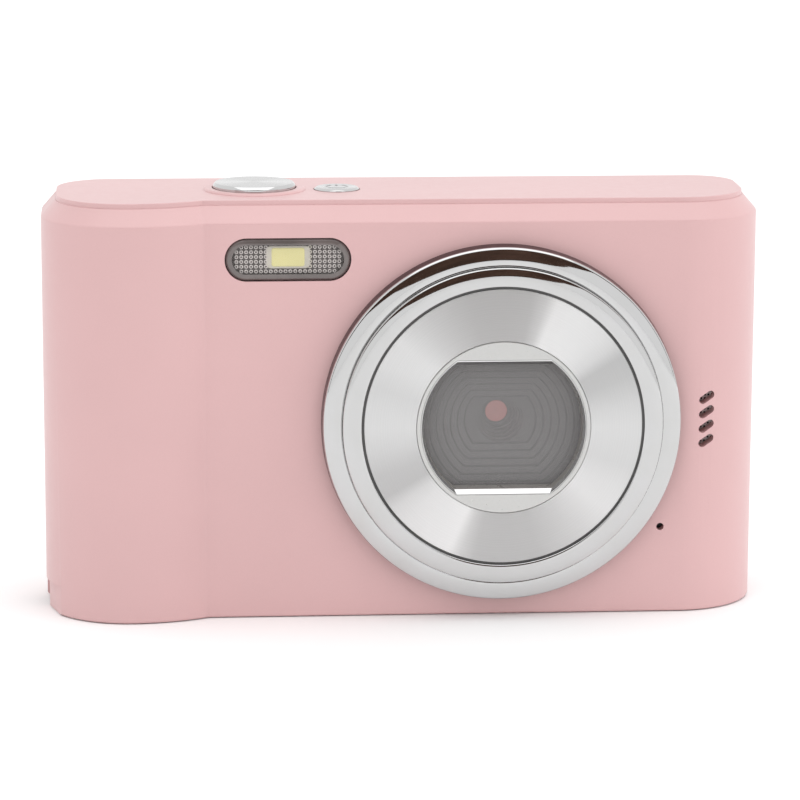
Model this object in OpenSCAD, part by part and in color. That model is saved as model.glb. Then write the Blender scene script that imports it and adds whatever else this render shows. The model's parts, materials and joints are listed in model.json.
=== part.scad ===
// Compact digital camera with a fixed lens, built as separate pieces.
// Frame: X to the right seen from the front, front faces -Y, +Z up.
// Origin: middle of the overall box, on the surface it stands on.
// Inside the modules y = 0 is the flat front face and y grows to the back.

/* [Body] */
// Width of the body
body_w = 100; // [99.8:0.1:100.4]
// Depth of the body, flat front face to back face
body_d = 25.4; // [25.4:0.1:25.6]
// Height of the body to the top of the bevel
body_h = 57.75; // [57.7:0.05:57.8]
// Height at which the top bevel starts
bevel_z = 55.5; // [55.2:0.1:55.6]
// Width of the top bevel
bevel_w = 2.0; // [1.9:0.05:2.0]
// Wall thickness of the shells
wall = 1.6; // [1.5:0.05:1.6]
// How far the hand grip stands out of the front face
grip_out = 2.8; // [2.6:0.1:2.9]
// Where front and rear shells part, measured from the front face
part_y = 15.0; // [14.9:0.05:15.1]

/* [Lens] */
// Lens axis, across
lens_x = 13.25; // [13:0.05:13.5]
// Lens axis, height
lens_z = 27.5; // [27.3:0.05:27.6]
// Radius of the outer chrome ring
ring_r = 24.97; // [24.8:0.01:25.1]
// Radius of the spun disc
disc_r = 19.35; // [19.2:0.01:19.4]
// Radius of the front opening of the flat-sided window
window_r = 11.2; // [11:0.05:11.3]
// Half height of the front opening of the window
window_h = 9.3; // [9.1:0.05:9.4]

/* [Controls] */
// Radius of the shutter button
shutter_r = 5.85; // [5.8:0.01:5.87]
// Travel of the shutter button
shutter_travel = 1.0; // [0.8:0.1:1.0]
// Radius of the power button
power_r = 3.15; // [3.1:0.01:3.17]
// Travel of the small keys
key_travel = 0.4; // [0.3:0.05:0.4]

/* [Battery and card] */
// Battery width, thickness and height
battery_size = [31, 6.4, 41];
// Radius of the tripod socket wall, for a 1/4 inch screw
tripod_r = 3.2; // [3.175:0.005:3.25]

/* [Hidden] */
$fn = 64;
y_mid = 10.875;
hw = body_w / 2;
// plan arcs: grip corner, grip front, right front corner, rear corners
gx = -38;
gr_corner = 12;
gcy = gr_corner - grip_out;
gr_front = 21.85;
gfy = gr_front - grip_out;
fr = 11.5;
rr = 8;
rl = 9.5;
deck_in = 2.1;
deck_z = 58.4;
door_y = 12.25;
door_z = 0.8;
key_y = 25.85;
shutter_x = -20.4;
shutter_y = 12.5;
power_x = -8.9;
power_y = 12.05;
flash_x = -16.2;
flash_z = 50.45;
pad_x = -32;
pad_z = 26.5;
slot_x = 42;
slot_z = 27.43;
slot_pitch = 2.05;
mic_x = 35.69;
mic_z = 12.27;
usb_z = 14;
boss = [[-6.3, 10.5], [-5.5, 44.5], [38.5, 6.8], [39, 47]];
pink = [0.87, 0.71, 0.71];
dark = [0.12, 0.12, 0.13];
chrome = [0.85, 0.85, 0.86];
steel = [0.6, 0.6, 0.62];
green = [0.1, 0.35, 0.2];

module place() translate([0, -y_mid, 0]) children();
module ycyl(x, z, r, y0, y1) translate([x, y0, z]) rotate([-90, 0, 0]) cylinder(r = r, h = y1 - y0);
module xcyl(y, z, r, x0, x1) translate([x0, y, z]) rotate([0, 90, 0]) cylinder(r = r, h = x1 - x0);
module zcyl(x, y, r, z0, z1) translate([x, y, z0]) cylinder(r = r, h = z1 - z0);
module box(x0, x1, y0, y1, z0, z1) translate([x0, y0, z0]) cube([x1 - x0, y1 - y0, z1 - z0]);
// ring or disc turned about the lens axis from a profile of [radius, y]
module turned(pts) translate([lens_x, 0, lens_z]) rotate([-90, 0, 0]) rotate_extrude($fn = 128) polygon(pts);
// stadium along X, pushed through along Y
module ystad(x, z, w, h, y0, y1) {
    box(x - w / 2 + h / 2, x + w / 2 - h / 2, y0, y1, z - h / 2, z + h / 2);
    for (s = [-1, 1]) ycyl(x + s * (w - h) / 2, z, h / 2, y0, y1);
}
// rounded rectangle, pushed through along Y
module yrr(x0, x1, z0, z1, r, y0, y1) {
    box(x0 + r, x1 - r, y0, y1, z0, z1);
    box(x0, x1, y0, y1, z0 + r, z1 - r);
    for (x = [x0 + r, x1 - r], z = [z0 + r, z1 - r]) ycyl(x, z, r, y0, y1);
}
// circle with two flat sides, about the lens axis
module dprism(r, h, y0, y1) intersection() {
    ycyl(lens_x, lens_z, r, y0, y1);
    box(lens_x - 30, lens_x + 30, y0 - 1, y1 + 1, lens_z - h, lens_z + h);
}

function arc(cx, cy, r, a0, a1, n, skip = 0) =
    [for (i = [skip : n]) let (a = a0 + (a1 - a0) * i / n) [cx + r * cos(a), cy + r * sin(a)]];
// plan outline of the body at an inset d, with e more steps in each corner
function outline(d, e = 0) = let (
        s = sqrt(pow(gr_front - d, 2) - pow(gfy - d, 2)),
        ae = 360 + atan2(d - gfy, s))
    concat(arc(hw - rr, body_d - rr, rr - d, 0, 90, 9 + e),
        arc(-hw + rl, body_d - rl, rl - d, 90, 180, 9 + e),
        arc(gx, gcy, gr_corner - d, 180, 270, 12 + e),
        arc(gx, gfy, gr_front - d, 270, ae, 7 + e, 1),
        arc(hw - fr, fr, fr - d, 270, 360, 12 + e));
// upright prism on the outline at an inset
module prism(d, z0, z1, e = 0) translate([0, 0, z0]) linear_extrude(z1 - z0) polygon(outline(d, e));
// closed band that follows the outline, from a loop of [z, inset]
module band(loop) {
    n = len(outline(1));
    m = len(loop);
    pts = [for (q = loop) for (p = outline(q[1])) [p[0], p[1], q[0]]];
    polyhedron(points = pts, faces = [for (k = [0 : m - 1]) for (i = [0 : n - 1])
        let (j = (i + 1) % n, t = (k + 1) % m)
        each [[k * n + i, t * n + i, t * n + j], [k * n + i, t * n + j, k * n + j]]], convexity = 8);
}
// walls with the bevel and the inward rim on top, and the floor
module casing() {
    band([[0.05, 0.35], [0.35, 0], [bevel_z, 0], [body_h, bevel_w], [body_h, 3.2], [55.6, 3.2], [55.6, wall], [0.05, wall]]);
    prism(0.8, 0, wall, 2);
}
module slots(y0, y1, grow = 0) for (i = [0 : 3])
    translate([slot_x, 0, slot_z + (i - 1.5) * slot_pitch]) rotate([0, -32, 0])
        ystad(0, 0, 2.35 + grow, 1.1 + grow, y0, y1);
module usb_cut() translate([0, part_y + 0.05, usb_z]) {
    translate([46, -1.65, -2.85]) cube([6, 3.3, 5.7]);
    for (s = [-1, 1]) xcyl(0, s * 2.85, 1.65, 46, 52);
}
// one self-tapping screw, head at z = 0, pointing up
module screw(l = 3.6) difference() {
    union() {
        zcyl(0, 0, 1.2, 0, 0.7);
        zcyl(0, 0, 0.6, 0.6, l);
    }
    for (a = [0, 90]) rotate(a) translate([-0.6, -0.13, -0.1]) cube([1.2, 0.26, 0.45]);
}

module front_shell() color(pink) place() difference() {
    union() {
        intersection() {
            casing();
            box(-60, 60, -10, part_y, -1, 60);
        }
        // lips that step into the rear shell
        for (s = [-1, 1]) {
            box(s < 0 ? -48.25 : 47.5, s < 0 ? -47.5 : 48.25, 13.6, 15.5, s < 0 ? 8 : 22, 54.9);
            box(s < 0 ? -49 : 47.5, s < 0 ? -47.5 : 49, 13.6, 14.6, s < 0 ? 8 : 22, 54.9);
        }
        for (x = [[3, 7.5], [19, 35]]) {
            box(x[0], x[1], 12, 15.5, 1.7, 2.4);
            box(x[0], x[1], 12, 14.6, 1.2, 2);
        }
        // posts for the main board
        for (b = boss) ycyl(b[0], b[1], 1.8, 1.2, 16.55);
        // brackets for the top board
        box(-36, -33, -1.5, 12, 46.8, 48.95);
        box(-5.2, -2.2, 1, 12, 46.8, 48.95);
        // lugs that take the case screws
        for (x = [-1, 38]) {
            box(x - 2.5, x + 2.5, 11, 20.4, 1.7, 4.7);
            box(x - 2.5, x + 2.5, 11, 14.3, 1.2, 2);
        }
        for (s = [-1, 1]) {
            box(s < 0 ? -46.85 : 43.3, s < 0 ? -43.3 : 46.85, 11, 19.6, 43, 48);
            box(s < 0 ? -49 : 43.3, s < 0 ? -43.3 : 49, 11, 14.3, 43, 48);
        }
        // pad behind the speaker slots
        box(39.6, 42.4, 0.9, 2.9, 22.4, 32.4);
        box(42.2, 44, 1.45, 2.9, 22.4, 32.4);
        // walls around the strap recess
        box(-49.5, -45.6, 7.6, 14.8, 0.3, 5.4);
    }
    // lens opening
    ycyl(lens_x, lens_z, 22.2, -2, 3);
    // flash window opening
    ystad(flash_x, flash_z, 17.35, 6.0, -2, 3);
    slots(-2, 5);
    ycyl(mic_x, mic_z, 0.52, -2, 4);
    usb_cut();
    // battery and card door opening, and the hinge pin seat
    box(-43.5, -8, 1.9, 13.1, -1, 1.7);
    xcyl(door_y, door_z, 0.41, -45.3, -6);
    // tripod socket opening
    zcyl(lens_x, 9, 4.1, -1, 2.4);
    // strap recess: a shallow scoop in the side, and a pocket behind the bar
    translate([0, 0, -1]) linear_extrude(5.2)
        polygon([[-53, -3], [-47.35, 0.6], [-49.55, 8.3], [-49.55, 14.6], [-53, 14.6]]);
    box(-52, -46.6, 8.6, 13.8, -1, 4.4);
    ycyl(-48, 2, 0.61, 7.9, 14.6);
    // screw holes
    for (b = boss) ycyl(b[0], b[1], 0.62, 13.4, 17);
    for (x = [-34.5, -3.7]) zcyl(x, 9, 0.62, 46.9, 50);
    for (x = [-1, 38]) zcyl(x, 18, 0.62, 1.5, 4.3);
    xcyl(17.8, 45.5, 0.62, -47.5, -45.2);
    xcyl(17.8, 45.5, 0.62, 45.2, 47.5);
}

module rear_shell() color(pink) place() difference() {
    union() {
        intersection() {
            casing();
            box(-60, 60, part_y + 0.1, 40, -1, 60);
        }
        // spacers for the side screws
        xcyl(17.8, 45.5, 2.2, -49, -46.95);
        xcyl(17.8, 45.5, 2.2, 46.95, 49);
    }
    // screen opening with a ledge for the cover
    yrr(-17.6, 41.6, 5.9, 52.1, 1.6, body_d - 1.05, body_d + 2);
    yrr(-16.4, 40.4, 7, 51, 1, 20, body_d + 2);
    // key openings
    for (x = [pad_x - 6.5, pad_x + 6.5]) {
        yrr(x - 3.65, x + 3.65, 46.15, 50.85, 2.1, 20, 28);
        ycyl(x, 40, 2.65, 20, 28);
        ycyl(x, 12.5, 2.65, 20, 28);
    }
    ycyl(pad_x, pad_z, 8.55, 20, 28);
    ycyl(pad_x, 40, 0.85, 20, 28);
    usb_cut();
    // screw holes
    for (x = [-1, 38]) {
        zcyl(x, 18, 1.35, -1, 0.85);
        zcyl(x, 18, 0.7, 0, 3);
    }
    xcyl(17.8, 45.5, 1.35, -52, -48.8);
    xcyl(17.8, 45.5, 0.7, -52, -46);
    xcyl(17.8, 45.5, 1.35, 48.95, 52);
    xcyl(17.8, 45.5, 0.7, 46, 52);
}

module top_cover() color(pink) place() difference() {
    union() {
        prism(deck_in, 57.85, deck_z);
        prism(3.4, 56.4, 57.9);
        // raised ring around the shutter button
        translate([shutter_x, shutter_y, 0]) rotate_extrude($fn = 96)
            polygon([[5.5, 57.95], [7.15, 57.95], [7.15, deck_z + 0.05], [6.85, deck_z + 0.3], [5.5, deck_z + 0.3]]);
        // clip hooks under the rim of the shells
        for (x = [-1, 26]) {
            box(x - 2, x + 2, 3.5, 4.5, 54.9, 56.5);
            box(x - 2, x + 2, 2.3, 4.5, 54.9, 55.5);
        }
        for (x = [-30, 5, 32]) {
            box(x - 2, x + 2, body_d - 4.5, body_d - 3.5, 54.9, 56.5);
            box(x - 2, x + 2, body_d - 4.5, body_d - 2.3, 54.9, 55.5);
        }
    }
    zcyl(shutter_x, shutter_y, shutter_r + 0.1, 50, 60);
    zcyl(power_x, power_y, power_r + 0.1, 50, 60);
}

module shutter_button() color(chrome) place() translate([shutter_x, shutter_y, 0]) rotate_extrude($fn = 96)
    polygon([[0, 53.1], [1.2, 53.1], [1.2, 55.5], [6.6, 55.5], [6.6, 56.35], [shutter_r, 56.35],
        [shutter_r, 59.0], [shutter_r - 0.4, 59.32], [shutter_r - 1.4, 59.4], [0, 59.45]]);

// coil spring as a swept tube
module coil(r, w, z0, z1, turns) {
    n = turns * 14;
    k = 6;
    pts = [for (i = [0 : n]) let (a = 360 * turns * i / n, zc = z0 + w + (z1 - z0 - 2 * w) * i / n)
        for (j = [0 : k - 1]) let (b = 360 * j / k)
            [(r + w * cos(b)) * cos(a), (r + w * cos(b)) * sin(a), zc + w * sin(b)]];
    side = [for (i = [0 : n - 1]) for (j = [0 : k - 1]) let (q = (j + 1) % k)
        each [[i * k + j, i * k + q, (i + 1) * k + q], [i * k + j, (i + 1) * k + q, (i + 1) * k + j]]];
    polyhedron(points = pts, faces = concat([[for (j = [k - 1 : -1 : 0]) j]],
        [[for (j = [0 : k - 1]) n * k + j]], [for (f = side) [f[2], f[1], f[0]]]), convexity = 8);
}
module shutter_spring() color(steel) place() translate([shutter_x, shutter_y, 0]) coil(3.7, 0.2, 50.05, 55.4, 5);

module top_switches() color(dark) place() for (p = [[shutter_x, shutter_y], [power_x, power_y]]) {
    box(p[0] - 2.2, p[0] + 2.2, p[1] - 2.2, p[1] + 2.2, 50, 51.6);
    zcyl(p[0], p[1], 0.9, 51.5, 52.0);
}

module power_button() color(chrome) place() translate([power_x, power_y, 0]) rotate_extrude()
    polygon([[0, 52.5], [1, 52.5], [1, 55.6], [3.9, 55.6], [3.9, 56.35], [power_r, 56.35],
        [power_r, 58.5], [power_r - 0.3, 58.75], [0, 58.75]]);

module top_board() color(green) place() difference() {
    box(-36, -2.2, 6.4, 19, 49, 50);
    for (x = [-34.5, -3.7]) zcyl(x, 9, 0.8, 48, 51);
}

module flash_window() color([0.55, 0.5, 0.5]) place() {
    ystad(flash_x, flash_z, 17.2, 5.85, 0.05, 1.7);
    ystad(flash_x, flash_z, 18.6, 7.2, 1.65, 2.2);
}

module flash_reflector() color(chrome) place() difference() {
    ystad(flash_x, flash_z, 16.6, 5.4, 2.3, 4.7);
    ystad(flash_x, flash_z, 15.6, 4.6, 2.2, 3.4);
    box(flash_x - 2.2, flash_x + 2.9, 2, 5, flash_z - 1.6, flash_z + 1.4);
}

module flash_led() color([0.95, 0.93, 0.55]) place()
    box(flash_x - 2.05, flash_x + 2.75, 2.9, 4.7, flash_z - 1.45, flash_z + 1.25);

module flash_board() color(green) place() box(-25.5, -6.9, 4.75, 5.6, 46.95, 54.2);

module lens_outer_ring() color(chrome) place()
    turned([[22.15, 0], [ring_r, 0], [ring_r, -1.7], [24.6, -2.35], [23.9, -2.75], [23.2, -2.75],
        [22.6, -2.55], [22.3, -2.2], [22.15, -1.9]]);

module lens_inner_ring() color(chrome) place()
    turned([[19.45, -0.5], [22.05, -0.5], [22.05, -2.4], [21.7, -2.95], [21.1, -3.4], [20.3, -3.7],
        [19.75, -3.72], [19.5, -3.55], [19.45, -3.4]]);

module lens_disc() color(steel) place()
    turned([[12.05, -2.55], [disc_r, -2.55], [disc_r, -3.45], [19.2, -3.54], [12.25, -4.0], [12.05, -3.9]]);

module lens_plate() color(steel) place() difference() {
    turned([[0, -3.5], [12, -3.5], [12, -3.98], [11.93, -4.05], [0, -4.05]]);
    dprism(window_r, window_h, -5, -3);
}

// chromed frame with a sloped flat-sided opening
module window_bezel() color(chrome) place() difference() {
    ycyl(lens_x, lens_z, 11.95, -3.45, -1.85);
    intersection() {
        turned([[0, -3.6], [window_r + 0.02, -3.6], [window_r - 0.8, -1.8], [0, -1.8]]);
        translate([lens_x - 30, 0, lens_z]) rotate([90, 0, 90]) linear_extrude(60)
            polygon([[-3.6, -window_h], [-1.8, 0.8 - window_h], [-1.8, window_h - 0.8], [-3.6, window_h]]);
    }
}

module lens_window() color([0.5, 0.5, 0.5, 0.5]) place() ycyl(lens_x, lens_z, 11.9, -1.8, -1.3);

// stepped light trap: flat-sided steps first, round steps behind
module lens_baffle() color(dark) place() difference() {
    ycyl(lens_x, lens_z, 11.9, -1.25, 7.4);
    for (k = [0 : 6]) dprism(10.2 - k * 1.0, 8.3 - k * 0.78, -2, -0.85 + k * 0.35);
    for (k = [0 : 4]) ycyl(lens_x, lens_z, 3.6 - k * 0.4, 0, 2.4 + k * 0.9);
    ycyl(lens_x, lens_z, 1.75, 0, 8);
}

module lens_barrel() color(dark) place()
    turned([[12.0, 6.5], [12.0, -2.5], [19.4, -2.5], [19.4, -0.45], [22.05, -0.45], [22.05, 1.65],
        [22.9, 1.65], [22.9, 2.9], [15, 2.9], [13.6, 6.5]]);

module lens_front_element() color([0.8, 0.5, 0.55]) place()
    turned([[0, 7.62], [0.9, 7.72], [1.5, 7.95], [2.0, 8.0], [2.0, 9.3], [0, 9.3]]);
module lens_rear_element() color([0.7, 0.75, 0.85]) place()
    turned([[0, 10.1], [1.8, 10.25], [3.2, 10.6], [3.2, 12], [0, 12]]);
module lens_holder() color(dark) place() difference() {
    union() {
        ycyl(lens_x, lens_z, 7, 7.45, 13.85);
        yrr(lens_x - 9, lens_x + 9, lens_z - 9, lens_z + 9, 1.5, 12.4, 13.85);
    }
    ycyl(lens_x, lens_z, 1.6, 7, 14);
    ycyl(lens_x, lens_z, 2.05, 7.95, 14);
    ycyl(lens_x, lens_z, 3.25, 10.0, 14);
}
module image_sensor() color([0.2, 0.2, 0.3]) place() box(lens_x - 4, lens_x + 4, 13.9, 14.8, lens_z - 3.4, lens_z + 3.4);
module sensor_board() color(green) place() box(lens_x - 10, lens_x + 10, 14.85, 15.8, lens_z - 10, lens_z + 10);

module main_board() color(green) place() difference() {
    union() {
        box(-9.5, 42.6, 16.6, 17.6, 5.2, 48.5);
        box(42, 47.3, 16.6, 17.6, 6, 24);
    }
    for (b = boss) ycyl(b[0], b[1], 0.8, 16, 18);
}
module main_chips() color(dark) place() {
    box(-2, 9, 17.6, 18.7, 30, 41);
    box(14, 24, 17.6, 18.6, 31, 40);
    box(28, 35, 17.6, 18.5, 14, 26);
    box(2, 12, 17.6, 19.2, 9, 15);
    ycyl(34, 39, 2.4, 17.6, 19.6);
}

module lcd_panel() color([0.08, 0.08, 0.1]) place() box(-15.6, 39.6, 20.85, 23.4, 6.6, 51.4);
module lcd_frame() color(steel) place() difference() {
    box(-16.2, 40.2, 20.2, 23.6, 6, 52);
    box(-15.7, 39.7, 20.8, 24, 6.5, 51.5);
}
module screen_cover() color([0.05, 0.05, 0.06]) place() yrr(-17.5, 41.5, 6, 52, 1.5, body_d - 1, body_d);

module key_board() color(green) place() box(-43, -19.2, 20.3, 21.25, 7, 53.5);
// snap domes under the keys
module dome(x, z) translate([x, 21.25, z]) rotate([-90, 0, 0]) rotate_extrude($fn = 32)
    polygon([[0, 0], [1.6, 0], [1.1, 0.2], [0, 0.25]]);
module key_domes() color(chrome) place() {
    for (x = [pad_x - 6.5, pad_x + 6.5], z = [48.5, 40, 12.5]) dome(x, z);
    for (a = [0, 90, 180, 270]) dome(pad_x + 6.5 * cos(a), pad_z + 6.5 * sin(a));
    dome(pad_x, pad_z);
}
module plunger(x, z) ycyl(x, z, 0.9, 21.95, 23);
module round_key(x, z) color(pink) place() {
    translate([x, 0, z]) rotate([-90, 0, 0]) rotate_extrude()
        polygon([[0, 22.9], [3.1, 22.9], [3.1, 23.6], [2.5, 23.6], [2.5, key_y - 0.2], [2.3, key_y], [0, key_y]]);
    plunger(x, z);
}
module oblong_key(x) color(pink) place() {
    yrr(x - 3.5, x + 3.5, 46.3, 50.7, 2, 22.9, key_y);
    yrr(max(x - 4.1, -41.2), x + 4.1, 45.7, 51.3, 2, 22.9, 23.6);
    plunger(x, 48.5);
}
// one quarter of the four-way ring
module ring_key(a) color(pink) place() {
    intersection() {
        translate([pad_x, 0, pad_z]) rotate([-90, 0, 0]) rotate_extrude($fn = 96)
            polygon([[4.15, 22.9], [9.1, 22.9], [9.1, 23.6], [8.4, 23.6], [8.4, key_y - 0.25], [8.2, key_y],
                [4.35, key_y], [4.15, key_y - 0.2]]);
        translate([pad_x, 20, pad_z]) rotate([0, -a, 0]) translate([0.28, 0, 0]) rotate([-90, 0, 0])
            linear_extrude(8) polygon([[0, 0], [16, -16], [16, 16]]);
    }
    plunger(pad_x + 6.5 * cos(a), pad_z + 6.5 * sin(a));
}
module key_zoom_out() oblong_key(pad_x + 6.5);
module key_zoom_in() oblong_key(pad_x - 6.5);
module key_mode() round_key(pad_x + 6.5, 40);
module key_menu() round_key(pad_x - 6.5, 40);
module key_right() ring_key(0);
module key_up() ring_key(90);
module key_left() ring_key(180);
module key_down() ring_key(270);
module key_ok() color(pink) place() translate([pad_x, 0, pad_z]) rotate([-90, 0, 0]) rotate_extrude()
    polygon([[0, 21.95], [4.5, 21.95], [4.5, 22.4], [3.9, 22.5], [3.9, key_y - 0.25], [3.7, key_y - 0.05], [0, key_y - 0.05]]);
module key_play() round_key(pad_x + 6.5, 12.5);
module key_delete() round_key(pad_x - 6.5, 12.5);
module status_light() color([0.7, 0.9, 0.7]) place() {
    ycyl(pad_x, 40, 0.8, 21.4, body_d - 0.05);
    ycyl(pad_x, 40, 1.3, 22.9, 23.7);
}

module battery() color([0.2, 0.22, 0.26]) place() translate([-42.3, 5.6, 3]) difference() {
    cube(battery_size);
    for (x = [22.3, 25.3, 28.3]) translate([x - 0.9, 1.6, battery_size[2] - 0.4]) cube([1.8, 3, 1]);
}
module battery_tray() color(dark) place() difference() {
    box(-43.1, -10.5, 5, 12.6, 2.3, 45.6);
    box(-42.6, -11, 5.5, 12.1, 1, 45.1);
    box(-12, -9, 7.3, 10.3, 1, 8);
    box(-40, -14, 12, 13, 10, 38);
}
module battery_contacts() color([0.85, 0.7, 0.3]) place() for (x = [-20, -17, -14])
    box(x - 0.7, x + 0.7, 7.5, 10, 44.05, 45.05);
module battery_catch() color([0.9, 0.5, 0.1]) place() {
    box(-10.35, -8.6, 7.6, 10, 2.3, 7);
    box(-12.2, -10.3, 7.6, 10, 2.3, 2.85);
}
module battery_door() color(pink) place() difference() {
    union() {
        box(-43.4, -8.1, 2.0, door_y, 0.05, 1.55);
        xcyl(door_y, door_z, 0.75, -43.4, -8.1);
    }
    xcyl(door_y, door_z, 0.45, -44, -7);
    box(-30.5, -22.5, 4.6, 7.0, -1, 3);
}
module door_hinge_pin() color(steel) place() xcyl(door_y, door_z, 0.4, -45.2, -6.1);
module door_latch() color(dark) place() difference() {
    union() {
        box(-30.4, -24.6, 4.7, 6.9, 0.15, 1.7);
        box(-31.2, -23.8, 4.0, 7.6, 1.6, 2.1);
    }
    for (i = [0 : 4]) box(-29.6 + i * 0.9, -29.2 + i * 0.9, 4.9, 6.7, 0, 0.4);
}
module memory_card() color([0.1, 0.15, 0.35]) place() difference() {
    box(-42, -18, 2.4, 4.5, 3, 35);
    translate([-18, 0, 35]) rotate([0, 45, 0]) box(-3, 3, 2, 5, -3, 3);
}
module card_socket() color(steel) place() difference() {
    box(-42.8, -17.2, 1.8, 4.9, 10, 36.8);
    box(-42.15, -17.85, 2.25, 4.65, 9, 36.3);
}
module usb_socket() color(steel) place() translate([0, part_y + 0.05, usb_z]) difference() {
    union() {
        box(41.8, 49.3, -1.5, 1.5, -2.85, 2.85);
        for (s = [-1, 1]) xcyl(0, s * 2.85, 1.5, 41.8, 49.3);
    }
    box(43.5, 50, -1.2, -0.45, -2.85, 2.85);
    box(43.5, 50, 0.45, 1.2, -2.85, 2.85);
    for (s = [-1, 1]) box(43.5, 50, -1.2, 1.2, s < 0 ? -4 : 3.3, s < 0 ? -3.3 : 4);
}
module speaker() color(dark) place() ycyl(40.7, slot_z, 4.2, 4.2, 7.4);
module speaker_mesh() color(steel) place() yrr(39.8, 43.35, 22.6, 32.2, 0.5, 2.95, 3.1);
module microphone() color(steel) place() ycyl(mic_x, mic_z, 2, 1.7, 3.4);
module tripod_nut() color(steel) place() difference() {
    union() {
        zcyl(lens_x, 9, 4.0, 0.1, 6);
        zcyl(lens_x, 9, 4.5, 2.45, 3.4);
    }
    zcyl(lens_x, 9, tripod_r, -1, 5);
}
module strap_bar() color(steel) place() ycyl(-48, 2, 0.6, 8.0, 14.5);
module screws() color(steel) place() {
    for (x = [-1, 38]) translate([x, 18, 0.1]) screw();
    translate([-49.55, 17.8, 45.5]) rotate([0, 90, 0]) screw();
    translate([49.7, 17.8, 45.5]) rotate([0, -90, 0]) screw();
    for (b = boss) translate([b[0], 18.3, b[1]]) rotate([90, 0, 0]) screw();
    for (x = [-34.5, -3.7]) translate([x, 9, 50.7]) rotate([180, 0, 0]) screw();
}

front_shell();
rear_shell();
top_cover();
shutter_button();
shutter_spring();
top_switches();
power_button();
top_board();
flash_window();
flash_reflector();
flash_led();
flash_board();
lens_outer_ring();
lens_inner_ring();
lens_disc();
lens_plate();
window_bezel();
lens_window();
lens_baffle();
lens_barrel();
lens_front_element();
lens_rear_element();
lens_holder();
image_sensor();
sensor_board();
main_board();
main_chips();
lcd_panel();
lcd_frame();
screen_cover();
key_board();
key_domes();
key_zoom_out();
key_zoom_in();
key_mode();
key_menu();
key_up();
key_down();
key_left();
key_right();
key_ok();
key_play();
key_delete();
status_light();
battery();
battery_tray();
battery_contacts();
battery_catch();
battery_door();
door_hinge_pin();
door_latch();
memory_card();
card_socket();
usb_socket();
speaker();
speaker_mesh();
microphone();
tripod_nut();
strap_bar();
screws();
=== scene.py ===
"""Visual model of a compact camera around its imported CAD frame."""

import json
import math

import bmesh
import bpy
from mathutils import Matrix, Vector

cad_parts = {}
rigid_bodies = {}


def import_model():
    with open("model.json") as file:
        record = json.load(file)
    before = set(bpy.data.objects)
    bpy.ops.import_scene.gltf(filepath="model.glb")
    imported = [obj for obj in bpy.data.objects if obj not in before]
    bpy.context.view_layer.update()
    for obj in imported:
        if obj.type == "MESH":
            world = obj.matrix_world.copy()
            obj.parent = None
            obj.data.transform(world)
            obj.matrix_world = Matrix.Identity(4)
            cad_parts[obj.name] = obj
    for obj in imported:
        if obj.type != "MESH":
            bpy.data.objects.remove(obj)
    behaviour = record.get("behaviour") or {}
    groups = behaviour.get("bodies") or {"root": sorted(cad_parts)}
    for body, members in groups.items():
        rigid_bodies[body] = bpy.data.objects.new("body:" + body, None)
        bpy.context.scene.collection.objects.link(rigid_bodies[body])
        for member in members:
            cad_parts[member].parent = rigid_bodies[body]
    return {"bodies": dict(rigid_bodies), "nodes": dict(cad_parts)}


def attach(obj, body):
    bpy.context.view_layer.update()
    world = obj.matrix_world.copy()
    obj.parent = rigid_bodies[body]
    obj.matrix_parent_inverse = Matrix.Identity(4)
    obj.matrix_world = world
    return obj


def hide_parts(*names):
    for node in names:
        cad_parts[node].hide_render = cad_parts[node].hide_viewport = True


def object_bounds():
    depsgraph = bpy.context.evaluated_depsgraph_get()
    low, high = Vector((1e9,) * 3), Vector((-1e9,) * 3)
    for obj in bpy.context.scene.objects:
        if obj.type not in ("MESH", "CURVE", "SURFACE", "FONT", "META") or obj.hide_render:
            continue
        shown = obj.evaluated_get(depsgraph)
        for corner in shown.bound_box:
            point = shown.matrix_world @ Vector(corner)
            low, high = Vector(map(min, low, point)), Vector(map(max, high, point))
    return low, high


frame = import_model()
CAD_BOX = [list(c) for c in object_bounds()]
BODIES = set(frame["bodies"])
NODES = frame["nodes"]
COL = bpy.context.scene.collection

# Shapes are written in millimetres with y = 0 on the flat front face; the row frame is metres with its origin under the middle of the box.
Y_MID = 10.875
MM = 0.001
LX, LZ = 13.25, 27.5  # lens axis
SX, SY = -20.4, 12.5  # shutter button
PX, PY = -8.9, 12.05  # power button
FX, FZ = -16.2, 50.45  # flash window
PAD_X, PAD_Z = -32.0, 26.5  # four-way pad
SLOT_X, SLOT_Z, SLOT_PITCH = 42.0, 27.43, 2.05
MIC_X, MIC_Z = 35.69, 12.27
USB_Y, USB_Z = 15.05, 14.0
TAU = 2 * math.pi


def R(p):
    return ((p[0]) * MM, (p[1] - Y_MID) * MM, p[2] * MM)


# ---------------------------------------------------------------- 2-D shapes
def outline(d, n=22):
    """Plan outline of the body at an inset d, counter-clockwise, as (x, y)."""
    gr, gf = 21.85 - d, 19.05 - d
    ae = 360 + math.degrees(math.atan2(d - 19.05, math.sqrt(gr * gr - gf * gf)))
    pts = []
    for cx, cy, r, a0, a1, k, skip in (
        (42, 17.4, 8 - d, 0, 90, n, 0),
        (-40.5, 15.9, 9.5 - d, 90, 180, n + 2, 0),
        (-38, 9.2, 12 - d, 180, 270, n + 6, 0),
        (-38, 19.05, gr, 270, ae, 12, 1),
        (38.5, 11.5, 11.5 - d, 270, 360, n + 6, 0),
    ):
        for i in range(skip, k + 1):
            a = math.radians(a0 + (a1 - a0) * i / k)
            pts.append((cx + r * math.cos(a), cy + r * math.sin(a)))
    return pts


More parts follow.
